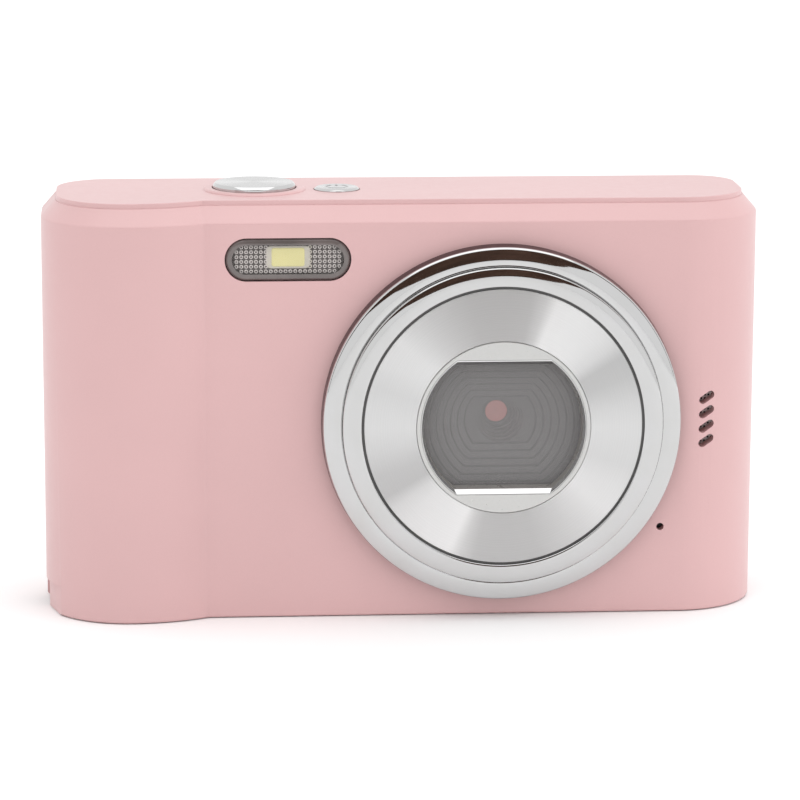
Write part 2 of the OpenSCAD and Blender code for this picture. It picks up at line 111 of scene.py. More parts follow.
def rrect(cx, cy, w, h, r, d=0.0, n=10):
    """Rounded rectangle inset by d, counter-clockwise."""
    w2, h2 = w / 2 - d, h / 2 - d
    r = min(max(r - d, 0.04), w2 - 1e-4, h2 - 1e-4)
    pts = []
    for sx, sy, a0 in ((1, 1, 0), (-1, 1, 90), (-1, -1, 180), (1, -1, 270)):
        for i in range(n + 1):
            a = math.radians(a0 + 90 * i / n)
            pts.append(
                (
                    cx + sx * (w2 - r) + r * math.cos(a),
                    cy + sy * (h2 - r) + r * math.sin(a),
                )
            )
    return pts


def circle(cx, cy, r, n=96):
    return [
        (cx + r * math.cos(TAU * i / n), cy + r * math.sin(TAU * i / n))
        for i in range(n)
    ]


def dshape(r, h, na=36, nc=16):
    """Circle with two flat sides about the lens axis, counter-clockwise in (x, z)."""
    t = math.asin(min(1.0, h / r))
    pts = []
    for i in range(na):
        a = -t + 2 * t * i / na
        pts.append((LX + r * math.cos(a), LZ + r * math.sin(a)))
    c = r * math.cos(t)
    for i in range(nc):
        pts.append((LX + c - 2 * c * i / nc, LZ + h))
    for i in range(na):
        a = math.pi - t + 2 * t * i / na
        pts.append((LX + r * math.cos(a), LZ + r * math.sin(a)))
    for i in range(nc):
        pts.append((LX - c + 2 * c * i / nc, LZ - h))
    return pts


def fillet(pts, radii, seg=6, closed=False):
    """Rounds the corners of a 2-D polyline; radii by index."""
    out = []
    n = len(pts)
    for i, p in enumerate(pts):
        r = radii.get(i, 0)
        if r <= 0 or (not closed and i in (0, n - 1)):
            out.append(tuple(p))
            continue
        a, b, c = Vector(pts[i - 1]), Vector(p), Vector(pts[(i + 1) % n])
        u, v = (a - b).normalized(), (c - b).normalized()
        ang = u.angle(v)
        if ang > math.pi - 0.01:
            out.append(tuple(p))
            continue
        t = min(
            r / math.tan(ang / 2), 0.49 * (a - b).length, 0.49 * (c - b).length
        )
        rr = t * math.tan(ang / 2)
        centre = b + (u + v).normalized() * (rr / math.sin(ang / 2))
        p0, p1 = b + u * t - centre, b + v * t - centre
        a0 = math.atan2(p0.y, p0.x)
        da = math.atan2(p1.y, p1.x) - a0
        while da > math.pi:
            da -= TAU
        while da < -math.pi:
            da += TAU
        for k in range(seg + 1):
            q = a0 + da * k / seg
            out.append((centre.x + rr * math.cos(q), centre.y + rr * math.sin(q)))
    return out


# ---------------------------------------------------------------- solids
class Mesh:
    """Collects faces of one piece, each with a material index."""

    def __init__(self):
        self.bm = bmesh.new()

    def rings(self, rings, mat=0, cap0=True, cap1=True, loop=False, mats=None):
        bm = self.bm
        vs = [[bm.verts.new(R(p)) for p in ring] for ring in rings]
        n = len(vs[0])
        faces = []
        m = len(vs)
        for k in range(m if loop else m - 1):
            a, b = vs[k], vs[(k + 1) % m]
            for i in range(n):
                j = (i + 1) % n
                f = bm.faces.new((a[i], a[j], b[j], b[i]))
                f.material_index = mats[k] if mats else mat
                faces.append(f)
        if not loop and cap0:
            f = bm.faces.new(vs[0][::-1])
            f.material_index = mats[0] if mats else mat
            faces.append(f)
        if not loop and cap1:
            f = bm.faces.new(vs[-1])
            f.material_index = mats[-1] if mats else mat
            faces.append(f)
        bmesh.ops.recalc_face_normals(bm, faces=faces)
        return faces

    def lathe(self, prof, cx, cy, axis="y", n=128, mat=0, mats=None, closed=False):
        """Turns a profile of (radius, along) about an axis; radius 0 makes a pole."""
        bm = self.bm

        def at(r, t, a):
            c, s = r * math.cos(a), r * math.sin(a)
            if axis == "y":
                return R((cx + c, t, cy + s))
            if axis == "z":
                return R((cx + c, cy + s, t))
            return R((t, cx + c, cy + s))

        cols = []
        for r, t in prof:
            if r < 1e-6:
                cols.append([bm.verts.new(at(0, t, 0))])
            else:
                cols.append([bm.verts.new(at(r, t, TAU * i / n)) for i in range(n)])
        faces = []
        m = len(cols)
        for k in range(m if closed else m - 1):
            a, b = cols[k], cols[(k + 1) % m]
            if len(a) == 1 and len(b) == 1:
                continue
            for i in range(n):
                j = (i + 1) % n
                if len(a) == 1:
                    f = bm.faces.new((a[0], b[j], b[i]))
                elif len(b) == 1:
                    f = bm.faces.new((a[i], a[j], b[0]))
                else:
                    f = bm.faces.new((a[i], a[j], b[j], b[i]))
                f.material_index = mats[k] if mats else mat
                faces.append(f)
        bmesh.ops.recalc_face_normals(bm, faces=faces)
        return faces

    def stack_y(self, fn, levels, mat=0, mats=None, **kw):
        """Extrudes a plan in (x, z) along Y; levels are (y, inset)."""
        return self.rings(
            [[(p[0], y, p[1]) for p in fn(d)] for y, d in levels], mat, mats=mats, **kw
        )

    def stack_z(self, fn, levels, mat=0, mats=None, **kw):
        return self.rings(
            [[(p[0], p[1], z) for p in fn(d)] for z, d in levels], mat, mats=mats, **kw
        )

    def prism_y(self, poly, y0, y1, mat=0):
        return self.rings(
            [[(p[0], y0, p[1]) for p in poly], [(p[0], y1, p[1]) for p in poly]], mat
        )

    def prism_z(self, poly, z0, z1, mat=0):
        return self.rings(
            [[(p[0], p[1], z0) for p in poly], [(p[0], p[1], z1) for p in poly]], mat
        )

    def box(self, x0, x1, y0, y1, z0, z1, mat=0):
        return self.prism_z([(x0, y0), (x1, y0), (x1, y1), (x0, y1)], z0, z1, mat)

    def obj(self, name):
        me = bpy.data.meshes.new(name)
        self.bm.to_mesh(me)
        self.bm.free()
        o = bpy.data.objects.new(name, me)
        COL.objects.link(o)
        return o


def quick_obj(name, build):
    m = Mesh()
    build(m)
    return m.obj(name)


def boolean(target, op, *parts):
    """Exact booleans, one operand after another, with the result applied."""
    for p in parts:
        mod = target.modifiers.new("cut", "BOOLEAN")
        mod.operation = op
        mod.solver = "EXACT"
        mod.object = p
    bpy.context.view_layer.update()
    dg = bpy.context.evaluated_depsgraph_get()
    me = bpy.data.meshes.new_from_object(target.evaluated_get(dg))
    target.modifiers.clear()
    old = target.data
    target.data = me
    bpy.data.meshes.remove(old)
    for p in parts:
        bpy.data.objects.remove(p)
    return target


def bisect(o, y, keep_low):
    """Cuts a closed solid at a plane y and closes it again."""
    bm = bmesh.new()
    bm.from_mesh(o.data)
    res = bmesh.ops.bisect_plane(
        bm,
        geom=bm.verts[:] + bm.edges[:] + bm.faces[:],
        plane_co=R((0, y, 0)),
        plane_no=(0, 1, 0),
        clear_outer=keep_low,
        clear_inner=not keep_low,
    )
    edges = [e for e in res["geom_cut"] if isinstance(e, bmesh.types.BMEdge)]
    edges = [e for e in edges if e.is_valid and e.is_boundary]
    made = bmesh.ops.edgeloop_fill(bm, edges=edges)
    bmesh.ops.recalc_face_normals(bm, faces=bm.faces[:])
    bm.to_mesh(o.data)
    bm.free()
    return made


def dress(o, mats, body, nodes=(), angle=28, weighted=True, bevel=None):
    """Finish of a piece: materials, shading, body, CAD nodes it stands for."""
    me = o.data
    index = [p.material_index for p in me.polygons]
    me.materials.clear()
    for m in mats if isinstance(mats, (list, tuple)) else [mats]:
        me.materials.append(m)
    me.polygons.foreach_set("material_index", index)
    me.shade_smooth()
    me.set_sharp_from_angle(angle=math.radians(angle))
    if bevel:
        b = o.modifiers.new("edge", "BEVEL")
        b.width = bevel * MM
        b.segments = 2
        b.limit_method = "ANGLE"
        b.angle_limit = math.radians(40)
        b.harden_normals = False
    if weighted:
        w = o.modifiers.new("normals", "WEIGHTED_NORMAL")
        w.keep_sharp = True
        w.weight = 50
    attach(o, body)
    if nodes:
        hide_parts(*nodes)
    return o


# ---------------------------------------------------------------- materials
def srgb(r, g, b):
    def lin(c):
        c /= 255
        return c / 12.92 if c <= 0.04045 else ((c + 0.055) / 1.055) ** 2.4

    return (lin(r), lin(g), lin(b), 1.0)


class Mat:
    """A Principled material with a few node helpers."""

    def __init__(self, name, color=None, rough=0.5, metal=0.0, spec=0.5, **sockets):
        self.m = bpy.data.materials.new(name)
        self.m.use_nodes = True
        self.nt = self.m.node_tree
        self.b = self.nt.nodes["Principled BSDF"]
        self.out = self.nt.nodes["Material Output"]
        if color:
            self.b.inputs["Base Color"].default_value = color
            self.m.diffuse_color = color
        self.b.inputs["Roughness"].default_value = rough
        self.b.inputs["Metallic"].default_value = metal
        self.b.inputs["Specular IOR Level"].default_value = spec
        for k, v in sockets.items():
            self.b.inputs[k].default_value = v
        self.coords = None

    def n(self, kind, **vals):
        node = self.nt.nodes.new(kind)
        for k, v in vals.items():
            setattr(node, k, v)
        return node

    def link(self, a, b):
        self.nt.links.new(a, b)

    def co(self):
        if self.coords is None:
            self.coords = self.n("ShaderNodeTexCoord").outputs["Object"]
        return self.coords

    def noise(self, scale, detail=2.0, rough=0.5, vector=None, distortion=0.0):
        t = self.n("ShaderNodeTexNoise")
        t.inputs["Scale"].default_value = scale
        t.inputs["Detail"].default_value = detail
        t.inputs["Roughness"].default_value = rough
        t.inputs["Distortion"].default_value = distortion
        self.link(vector or self.co(), t.inputs["Vector"])
        return t.outputs["Fac"]

    def scaled(self, vec):
        m = self.n("ShaderNodeMapping")
        m.inputs["Scale"].default_value = vec
        self.link(self.co(), m.inputs["Vector"])
        return m.outputs["Vector"]

    def ramp(self, fac, stops, interp="LINEAR"):
        r = self.n("ShaderNodeValToRGB")
        r.color_ramp.interpolation = interp
        el = r.color_ramp.elements
        while len(el) > 1:
            el.remove(el[-1])
        el[0].position, el[0].color = stops[0]
        for p, c in stops[1:]:
            e = el.new(p)
            e.color = c
        self.link(fac, r.inputs["Fac"])
        return r.outputs["Color"]

    def grey(self, fac, lo, hi, a=0.3, b=0.7):
        m = self.n("ShaderNodeMapRange")
        m.inputs["From Min"].default_value = a
        m.inputs["From Max"].default_value = b
        m.inputs["To Min"].default_value = lo
        m.inputs["To Max"].default_value = hi
        self.link(fac, m.inputs["Value"])
        return m.outputs["Result"]

    def math(self, op, a, b=None):
        m = self.n("ShaderNodeMath", operation=op)
        for i, v in enumerate((a, b)):
            if v is None:
                continue
            if isinstance(v, (int, float)):
                m.inputs[i].default_value = v
            else:
                self.link(v, m.inputs[i])
        return m.outputs[0]

    def mix(self, fac, a, b, blend="MIX"):
        m = self.n("ShaderNodeMix", data_type="RGBA", blend_type=blend)
        if isinstance(fac, (int, float)):
            m.inputs[0].default_value = fac
        else:
            self.link(fac, m.inputs[0])
        for i, v in ((6, a), (7, b)):
            if isinstance(v, tuple):
                m.inputs[i].default_value = v
            else:
                self.link(v, m.inputs[i])
        return m.outputs[2]

    def color(self, socket):
        self.link(socket, self.b.inputs["Base Color"])

    def rough(self, socket):
        self.link(socket, self.b.inputs["Roughness"])

    def bump(self, height, strength=0.2, dist=0.00005, normal=None):
        b = self.n("ShaderNodeBump")
        b.inputs["Strength"].default_value = strength
        b.inputs["Distance"].default_value = dist
        self.link(height, b.inputs["Height"])
        if normal:
            self.link(normal, b.inputs["Normal"])
        return b.outputs["Normal"]

    def normal(self, socket):
        self.link(socket, self.b.inputs["Normal"])

    def radius(self, centre, axis):
        """Distance from an axis through a point in the row frame."""
        s = self.n("ShaderNodeVectorMath", operation="SUBTRACT")
        self.link(self.co(), s.inputs[0])
        s.inputs[1].default_value = R(centre)
        k = self.n("ShaderNodeVectorMath", operation="MULTIPLY")
        self.link(s.outputs[0], k.inputs[0])
        k.inputs[1].default_value = {"x": (0, 1, 1), "y": (1, 0, 1), "z": (1, 1, 0)}[
            axis
        ]
        ln = self.n("ShaderNodeVectorMath", operation="LENGTH")
        self.link(k.outputs[0], ln.inputs[0])
        return ln.outputs["Value"], k.outputs[0]


def pink_plastic(name, base, dark=0.97, rough=0.44):
    """Satin paint over moulded plastic: a faint grain, slow colour drift, uneven gloss."""
    m = Mat(name, base, rough, spec=0.5)
    m.b.inputs["Coat Weight"].default_value = 0.45
    m.b.inputs["Coat Roughness"].default_value = 0.32
    drift = m.noise(35, 3.0, 0.55)
    dk = tuple(c * dark for c in base[:3]) + (1.0,)
    lt = tuple(min(1.0, c * (2 - dark)) for c in base[:3]) + (1.0,)
    c1 = m.ramp(drift, [(0.3, dk), (0.7, lt)])
    speck = m.noise(5200, 2.0, 0.6)
    m.color(
        m.mix(
            0.10,
            c1,
            m.ramp(
                speck,
                [(0.38, tuple(c * 0.88 for c in base[:3]) + (1,)), (0.62, lt)],
            ),
        )
    )
    g = m.noise(900, 4.0, 0.6)
    m.rough(m.grey(g, rough - 0.035, rough + 0.05))
    m.normal(
        m.bump(
            m.noise(6500, 3.0, 0.65), 0.10, 0.00003, m.bump(m.noise(260, 2.0), 0.03, 0.0001)
        )
    )
    return m.m


def chrome(name, v=0.62, rough=0.035, tint=(1.0, 1.0, 1.0)):
    m = Mat(name, (v * tint[0], v * tint[1], v * tint[2], 1), rough, 1.0)
    sm = m.noise(120, 4.0, 0.6, distortion=0.6)
    m.color(
        m.ramp(
            sm,
            [
                (0.25, (v * 0.96 * tint[0], v * 0.96 * tint[1], v * 0.95 * tint[2], 1)),
                (0.75, (v * 1.02 * tint[0], v * 1.02 * tint[1], v * 1.03 * tint[2], 1)),
            ],
        )
    )
    m.rough(m.grey(m.noise(700, 5.0, 0.65), max(rough - 0.015, 0.01), rough + 0.03))
    m.normal(m.bump(m.noise(420, 3.0, 0.5), 0.035, 0.00006))
    return m.m


def spun(name, centre, axis, v=0.66, rough=0.3, aniso=0.85, pitch=0.00009, painted_glint_fan=None):
    """Turned aluminium: circular tool marks that stretch each highlight along the radius; a fan of sectors, if given,
    paints bright and dark sectors into the colour by bearing round the axis, a painted highlight.
    """
    m = Mat(name, (v, v, v, 1), rough, 1.0)
    rad, vec = m.radius(centre, axis)
    t = m.n("ShaderNodeTexNoise", noise_dimensions="1D")
    t.inputs["Scale"].default_value = 1 / pitch
    t.inputs["Detail"].default_value = 4.0
    t.inputs["Roughness"].default_value = 0.7
    m.link(rad, t.inputs["W"])
    lines = t.outputs["Fac"]
    col = m.ramp(
        lines, [(0.3, (v * 0.93, v * 0.93, v * 0.93, 1)), (0.7, (v * 1.04, v * 1.04, v * 1.04, 1))]
    )
    # painted highlight: colour multiplied by a ramp over the bearing round the axis, the same sectors on opposite sides
    if painted_glint_fan:
        sep = m.n("ShaderNodeSeparateXYZ")
        m.link(vec, sep.inputs[0])
        flat = m.n("ShaderNodeCombineXYZ")
        m.link(sep.outputs["X"], flat.inputs["X"])
        m.link(sep.outputs["Z"], flat.inputs["Y"])
        turn = m.n("ShaderNodeTexGradient", gradient_type="RADIAL")
        m.link(flat.outputs[0], turn.inputs["Vector"])
        stops = [((a + 180 * h) / 360, (k, k, k, 1)) for h in (0, 1) for a, k in painted_glint_fan]
        col = m.mix(1.0, col, m.ramp(turn.outputs["Fac"], stops), "MULTIPLY")
    m.color(col)
    m.rough(m.grey(lines, rough - 0.05, rough + 0.06))
    m.normal(m.bump(lines, 0.06, 0.00002))
    m.b.inputs["Anisotropic"].default_value = aniso
    m.b.inputs["Anisotropic Rotation"].default_value = 0.25
    tn = m.n("ShaderNodeTangent", direction_type="RADIAL", axis=axis.upper())
    m.link(tn.outputs[0], m.b.inputs["Tangent"])
    return m.m


def plastic(name, color, rough=0.5, grain=4000, strength=0.15, var=0.12, spec=0.5, **k):
    m = Mat(name, color, rough, spec=spec, **k)
    a = tuple(c * (1 - var) for c in color[:3]) + (1,)
    b = tuple(min(1, c * (1 + var)) for c in color[:3]) + (1,)
    m.color(m.ramp(m.noise(160, 4.0, 0.6), [(0.3, a), (0.7, b)]))
    m.rough(m.grey(m.noise(800, 3.0, 0.6), rough - 0.06, rough + 0.08))
    m.normal(m.bump(m.noise(grain, 2.0, 0.6), strength, 0.00003))
    return m.m


def metal(name, color, rough=0.3, stretch=(1, 1, 1), grain=1500, strength=0.1, var=0.08):
    """Sheet or drawn metal with grain stretched along one axis."""
    m = Mat(name, color, rough, 1.0)
    v = m.scaled(stretch)
    g = m.noise(grain, 4.0, 0.6, vector=v)
    a = tuple(c * (1 - var) for c in color[:3]) + (1,)
    b = tuple(min(1, c * (1 + var)) for c in color[:3]) + (1,)
    m.color(m.ramp(g, [(0.3, a), (0.7, b)]))
    m.rough(m.grey(g, rough - 0.07, rough + 0.1))
    m.normal(m.bump(g, strength, 0.00002))
    return m.m


PINK = (0.615, 0.382, 0.382, 1.0)
pink = pink_plastic("pink_paint", PINK)
pink_key = pink_plastic("pink_key", (0.63, 0.40, 0.40, 1.0), 0.98, 0.38)
chrome_ring = chrome("chrome_ring", 0.575)
chrome_in = chrome("chrome_bezel", 0.66, 0.05)
# painted reflection: the outer ring's side wall is chrome coloured dark pink, standing in for the pink body it reflects
chrome_wall_painted_reflection = chrome("chrome_rim_painted_reflection", 0.09, 0.22, (1.0, 0.66, 0.70))
# the disc's bright and dark sectors are painted highlights: brightness listed against bearing round the lens axis
disc_mat = spun(
    "spun_disc",
    (LX, 0, LZ),
    "y",
    0.76,
    0.40,
    0.95,
    painted_glint_fan=[
        (0.1, 0.905), (10, 0.84), (22, 0.73), (31, 0.72), (37, 0.93), (44, 1.04), (56, 1.15), (67, 1.27),
        (72, 1.0), (78, 0.85), (105, 0.86), (122, 0.97), (140, 1.08), (150, 1.01), (162, 0.89), (179.9, 0.905),
    ],
)
button_mat = spun("spun_button", (SX, SY, 0), "z", 0.62, 0.28, 0.8, 0.00012)
power_mat = spun("spun_power", (PX, PY, 0), "z", 0.62, 0.28, 0.8, 0.00012)
plate_mat = metal("satin_plate", (0.60, 0.60, 0.59, 1), 0.34, (1, 1, 1), 2600, 0.06, 0.03)
black = plastic("black_plastic", (0.022, 0.021, 0.021, 1), 0.42)
groove_mat = plastic("dark_groove", (0.085, 0.083, 0.082, 1), 0.35, 2500, 0.08)
# painted reflection: flat dark grey on the chrome frame's deep inner wall, in place of the grey pane it would reflect
wall_painted_reflection_mat = plastic("window_wall_painted_reflection", (0.24, 0.225, 0.215, 1), 0.3, 2500, 0.08)
# one baffle plastic in a lighter copy for the treads and a darker copy for the risers: painted shade
baffle_mat = plastic("baffle_plastic", (0.44, 0.43, 0.428, 1), 0.45, 2500, 0.05, 0.05)
riser_shade_mat = plastic("baffle_riser_painted_shade", (0.12, 0.117, 0.116, 1), 0.45, 2500, 0.05, 0.05)
barrel_mat = plastic("barrel_plastic", (0.085, 0.08, 0.08, 1), 0.4, 2500, 0.08)
screen_black = plastic("screen_border", (0.008, 0.008, 0.009, 1), 0.06, 300, 0.01, 0.05)
steel = metal("steel_plate", (0.50, 0.50, 0.51, 1), 0.28, (1, 6, 1), 2500)
brass = metal("tripod_steel", (0.62, 0.60, 0.56, 1), 0.3, (4, 4, 1), 2500)
spring_mat = metal("spring_wire", (0.45, 0.45, 0.46, 1), 0.25, (1, 1, 6), 3000)
gold = metal("gold_plate", (0.83, 0.62, 0.26, 1), 0.22, (1, 1, 1), 1800)
orange = plastic("orange_catch", (0.75, 0.22, 0.02, 1), 0.4)
card_mat = plastic("card_body", (0.02, 0.045, 0.14, 1), 0.36)
sensor_mat = plastic("sensor_glass", (0.05, 0.06, 0.12, 1), 0.08, 200, 0.01)
phosphor = plastic("phosphor", srgb(232, 224, 160), 0.55, 5200, 0.35, 0.035)
white_pad = plastic("diffuser_halo", srgb(204, 198, 186), 0.4, 4000, 0.2, 0.06)
# one diffuser moulding in three tones: lighter ridges, with pits and the gaps between cells darker as painted shade
cell_mat = plastic("diffuser_ridge", srgb(206, 199, 196), 0.25, 3000, 0.1, 0.10)
cell_pit_shade_mat = plastic("diffuser_pit_painted_shade", srgb(92, 84, 82), 0.3, 3000, 0.1, 0.10)
cell_gap_shade_mat = plastic("diffuser_base_painted_shade", srgb(66, 59, 57), 0.3, 3000, 0.1, 0.12)
# painted shade: the clear window's rounded rim coloured dark grey-brown, uneven in tone, for the shaded pocket seen
# through it
flash_rim_shade_mat = plastic("flash_rim_painted_shade", srgb(100, 92, 90), 0.1, 500, 0.04, 0.25, spec=0.8)
print_grey = plastic("key_print", srgb(245, 238, 236), 0.5, 3000, 0.05, 0.02)
wrap = plastic("battery_wrap", (0.03, 0.035, 0.045, 1), 0.34, 900, 0.08)
mesh_mat = metal("black_mesh", (0.62, 0.56, 0.55, 1), 0.45, (1, 1, 1), 3000)


def board_material():
    """Printed board: solder mask with tracks and pads laid out on a grid."""
    m = Mat("circuit_board", (0.012, 0.09, 0.04, 1), 0.32)
    br = m.n("ShaderNodeTexBrick")
    br.inputs["Scale"].default_value = 420
    br.inputs["Mortar Size"].default_value = 0.012
    br.inputs["Color1"].default_value = (0.010, 0.075, 0.032, 1)
    br.inputs["Color2"].default_value = (0.014, 0.10, 0.045, 1)
    br.inputs["Mortar"].default_value = (0.03, 0.20, 0.08, 1)
    v = m.n("ShaderNodeMapping")
    v.inputs["Rotation"].default_value = (math.radians(90), 0, 0)
    m.link(m.co(), v.inputs["Vector"])
    m.link(v.outputs[0], br.inputs["Vector"])
    pads = m.n("ShaderNodeTexVoronoi")
    pads.inputs["Scale"].default_value = 900
    m.link(m.co(), pads.inputs["Vector"])
    dots = m.ramp(pads.outputs["Distance"], [(0.0, (1, 1, 1, 1)), (0.16, (1, 1, 1, 1)), (0.19, (0, 0, 0, 1))])
    m.color(m.mix(dots, br.outputs["Color"], (0.55, 0.52, 0.45, 1)))
    m.rough(m.grey(m.noise(600), 0.26, 0.4))
    m.normal(m.bump(br.outputs["Fac"], 0.2, 0.00003))
    return m.m


def hazy_window():
    """Window under a thin film: mostly a soft grey veil, with the light trap just showing."""
    m = Mat("hazy_window", srgb(138, 136, 136), 0.3, spec=0.4, Alpha=0.5)
    m.color(
        m.ramp(
            m.noise(90, 3.0, 0.6),
            [(0.3, srgb(136, 134, 134)), (0.7, srgb(140, 138, 138))],
        )
    )
    m.rough(m.grey(m.noise(500, 3.0), 0.27, 0.34))
    return m.m


def clear_cap():
    """Clear moulded window with faint smoky tint."""
    m = Mat("clear_cap", (0.30, 0.28, 0.27, 1), 0.05, spec=0.5, Alpha=0.16)
    m.rough(m.grey(m.noise(600, 3.0), 0.03, 0.09))
    m.normal(m.bump(m.noise(700, 2.0), 0.04, 0.00003))
    return m.m


def glowing_front_element():
    """Front element with a clear coat that brightens at grazing angles; its warm colour is a painted reflection of the
    coating, with a painted glow on top.
    """
    m = Mat(
        "coated_glass", (0.92, 0.36, 0.33, 1), 0.2, 0.0, 0.6
    )
    m.b.inputs["Coat Weight"].default_value = 1.0
    m.b.inputs["Coat Roughness"].default_value = 0.03
    # painted glow: the element emits warm light though it is no lamp
    m.b.inputs["Emission Color"].default_value = (0.85, 0.30, 0.27, 1)
    m.b.inputs["Emission Strength"].default_value = 0.75
    # painted reflection colour, lighter in a ring and darker towards the rim
    rad, _ = m.radius((LX, 0, LZ), "y")
    m.color(
        m.ramp(
            m.grey(rad, 0, 1, 0.0, 0.0018),
            [
                (0.0, (0.80, 0.34, 0.30, 1)),
                (0.45, (0.95, 0.42, 0.38, 1)),
                (0.9, (0.85, 0.30, 0.28, 1)),
                (1.0, (0.45, 0.16, 0.15, 1)),
            ],
        )
    )
    m.rough(m.grey(m.noise(900), 0.16, 0.24))
    return m.m


def screen_glass():
    """Cover glass with the darker display area showing behind its printed border."""
    m = Mat("screen_glass", (0.01, 0.01, 0.012, 1), 0.05, spec=0.6)
    sep = m.n("ShaderNodeSeparateXYZ")
    m.link(m.co(), sep.inputs[0])
    cx, cz, w, h = 12.0 * MM, 29.0 * MM, 26.0 * MM, 20.6 * MM
    ax = m.math("ABSOLUTE", m.math("SUBTRACT", sep.outputs["X"], cx))
    az = m.math("ABSOLUTE", m.math("SUBTRACT", sep.outputs["Z"], cz))
    inside = m.math("MULTIPLY", m.math("LESS_THAN", ax, w), m.math("LESS_THAN", az, h))
    m.color(m.mix(inside, (0.006, 0.006, 0.007, 1), (0.026, 0.030, 0.038, 1)))
    m.rough(m.grey(m.noise(300, 4.0, 0.6), 0.035, 0.075))
    m.normal(m.bump(m.noise(60, 2.0), 0.01, 0.0001))
    return m.m


board = board_material()
hazy = hazy_window()
clear = clear_cap()
element_glow = glowing_front_element()
screen = screen_glass()
pipe = plastic("light_pipe", srgb(205, 225, 205), 0.2, 800, 0.03, 0.05)
front_glass = plastic("rear_glass", (0.10, 0.12, 0.18, 1), 0.05, 300, 0.01)

# ---------------------------------------------------------------- casing
# bottom round, wall, eased bevel, rim, then down the inside to the floor
wall_levels = (
    [(0.05, 0.42), (0.07, 0.27), (0.14, 0.13), (0.25, 0.04), (0.42, 0.0)]
    + [(55.28, 0.0), (55.40, 0.015), (55.52, 0.065), (55.64, 0.15)]
    + [(57.55, 1.80), (57.63, 1.875), (57.69, 1.96), (57.72, 2.06)]
    + [(57.72, 3.2), (55.6, 3.2), (55.6, 1.6), (1.6, 1.6)]
)


def casing(name):
    m = Mesh()
    m.stack_z(outline, wall_levels)
    return m.obj(name)


def slot_cut(m, y0, y1, grow=0.0):
    for i in range(4):
        cz = SLOT_Z + (i - 1.5) * SLOT_PITCH
        a = math.radians(32)
        pts = []
        for x, z in rrect(0, 0, 2.35 + grow, 1.1 + grow, (1.1 + grow) / 2 - 0.001, 0, 12):
            pts.append(
                (
                    SLOT_X + x * math.cos(a) - z * math.sin(a),
                    cz + x * math.sin(a) + z * math.cos(a),
                )
            )
        m.prism_y(pts, y0, y1)


def usb_cutter(m):
    pts = [(y, z) for y, z in rrect(USB_Y, USB_Z, 3.3, 9.0, 1.648, 0, 12)]
    m.rings([[(46, y, z) for y, z in pts], [(53, y, z) for y, z in pts]])


front = casing("front_casing")
bisect(front, 15.0, True)
boolean(
    front,
    "UNION",
    quick_obj("u1", lambda m: m.box(39.6, 42.4, 0.9, 2.9, 22.4, 32.4)),
    quick_obj("u2", lambda m: m.box(42.2, 44.0, 1.45, 2.9, 22.4, 32.4)),
    quick_obj("u3", lambda m: m.box(-49.5, -45.6, 7.6, 14.8, 0.3, 5.4)),
    quick_obj("u4", lambda m: m.box(-48.25, -47.5, 13.6, 15.5, 8, 54.9)),
    quick_obj("u5", lambda m: m.box(47.5, 48.25, 13.6, 15.5, 22, 54.9)),
    quick_obj("u6", lambda m: m.box(-49, -47.5, 13.6, 14.6, 8, 54.9)),
    quick_obj("u7", lambda m: m.box(47.5, 49, 13.6, 14.6, 22, 54.9)),
)


def front_cuts(m):
    m.lathe([(0, -4), (22.2, -4), (22.2, 3), (0, 3)], LX, LZ, "y", 160)
    m.prism_y(rrect(FX, FZ, 17.35, 6.0, 2.999, 0, 20), -2, 3)
    slot_cut(m, -2, 5, 0.05)
    m.lathe([(0, -2), (0.52, -2), (0.52, 4), (0, 4)], MIC_X, MIC_Z, "y", 40)
    usb_cutter(m)
    m.prism_z([(p[0], p[1]) for p in rrect(-25.75, 7.5, 35.5, 11.2, 0.5, 0, 6)], -1, 1.75)
    m.lathe([(0, -1), (4.1, -1), (4.1, 2.4), (0, 2.4)], LX, 9, "z", 64)


boolean(
    front,
    "DIFFERENCE",
    quick_obj("c1", front_cuts),
    quick_obj(
        "c2",
        lambda m: m.prism_z(
            fillet(
                [(-53, -3), (-47.35, 0.6), (-49.55, 8.3), (-49.55, 14.6), (-53, 14.6)],
                {2: 2.0},
                6,
                True,
            ),
            -1,
            4.2,
        ),
    ),
    quick_obj("c3", lambda m: m.box(-52, -46.6, 8.6, 13.8, -1, 4.4)),
    quick_obj("c4", lambda m: m.lathe([(0, 7.9), (0.61, 7.9), (0.61, 14.6), (0, 14.6)], -48, 2, "y", 24)),
)
dress(front, pink, "camera_body", ["front_shell"])

rear = casing("rear_casing")
bisect(rear, 15.1, False)


def rear_cuts(m):
    m.prism_y(rrect(12.0, 29.0, 59.2, 46.2, 1.6, 0, 8), 24.35, 28)
    for x in (PAD_X - 6.5, PAD_X + 6.5):
        m.prism_y(rrect(x, 48.5, 7.3, 4.7, 2.1, 0, 10), 20, 28)
        for z in (40, 12.5):
            m.lathe([(0, 20), (2.65, 20), (2.65, 28), (0, 28)], x, z, "y", 64)
    m.lathe([(0, 20), (8.55, 20), (8.55, 28), (0, 28)], PAD_X, PAD_Z, "y", 96)
    m.lathe([(0, 20), (0.85, 20), (0.85, 28), (0, 28)], PAD_X, 40, "y", 32)
    usb_cutter(m)
    for x in (-1, 38):
        m.lathe([(0, -1), (1.35, -1), (1.35, 0.85), (0.7, 0.85), (0.7, 3), (0, 3)], x, 18, "z", 40)


boolean(
    rear,
    "DIFFERENCE",
    quick_obj("d1", rear_cuts),
    quick_obj("d2", lambda m: m.prism_y(rrect(12.0, 29.0, 56.8, 44.0, 1.0, 0, 4), 20, 26)),
    quick_obj("d3", lambda m: m.lathe([(0, -52), (1.35, -52), (1.35, -48.8), (0.7, -48.8), (0.7, -46), (0, -46)], 17.8, 45.5, "x", 40)),
    quick_obj("d4", lambda m: m.lathe([(0, 52), (1.35, 52), (1.35, 48.95), (0.7, 48.95), (0.7, 46), (0, 46)], 17.8, 45.5, "x", 40)),
)
dress(rear, pink, "camera_body", ["rear_shell"])

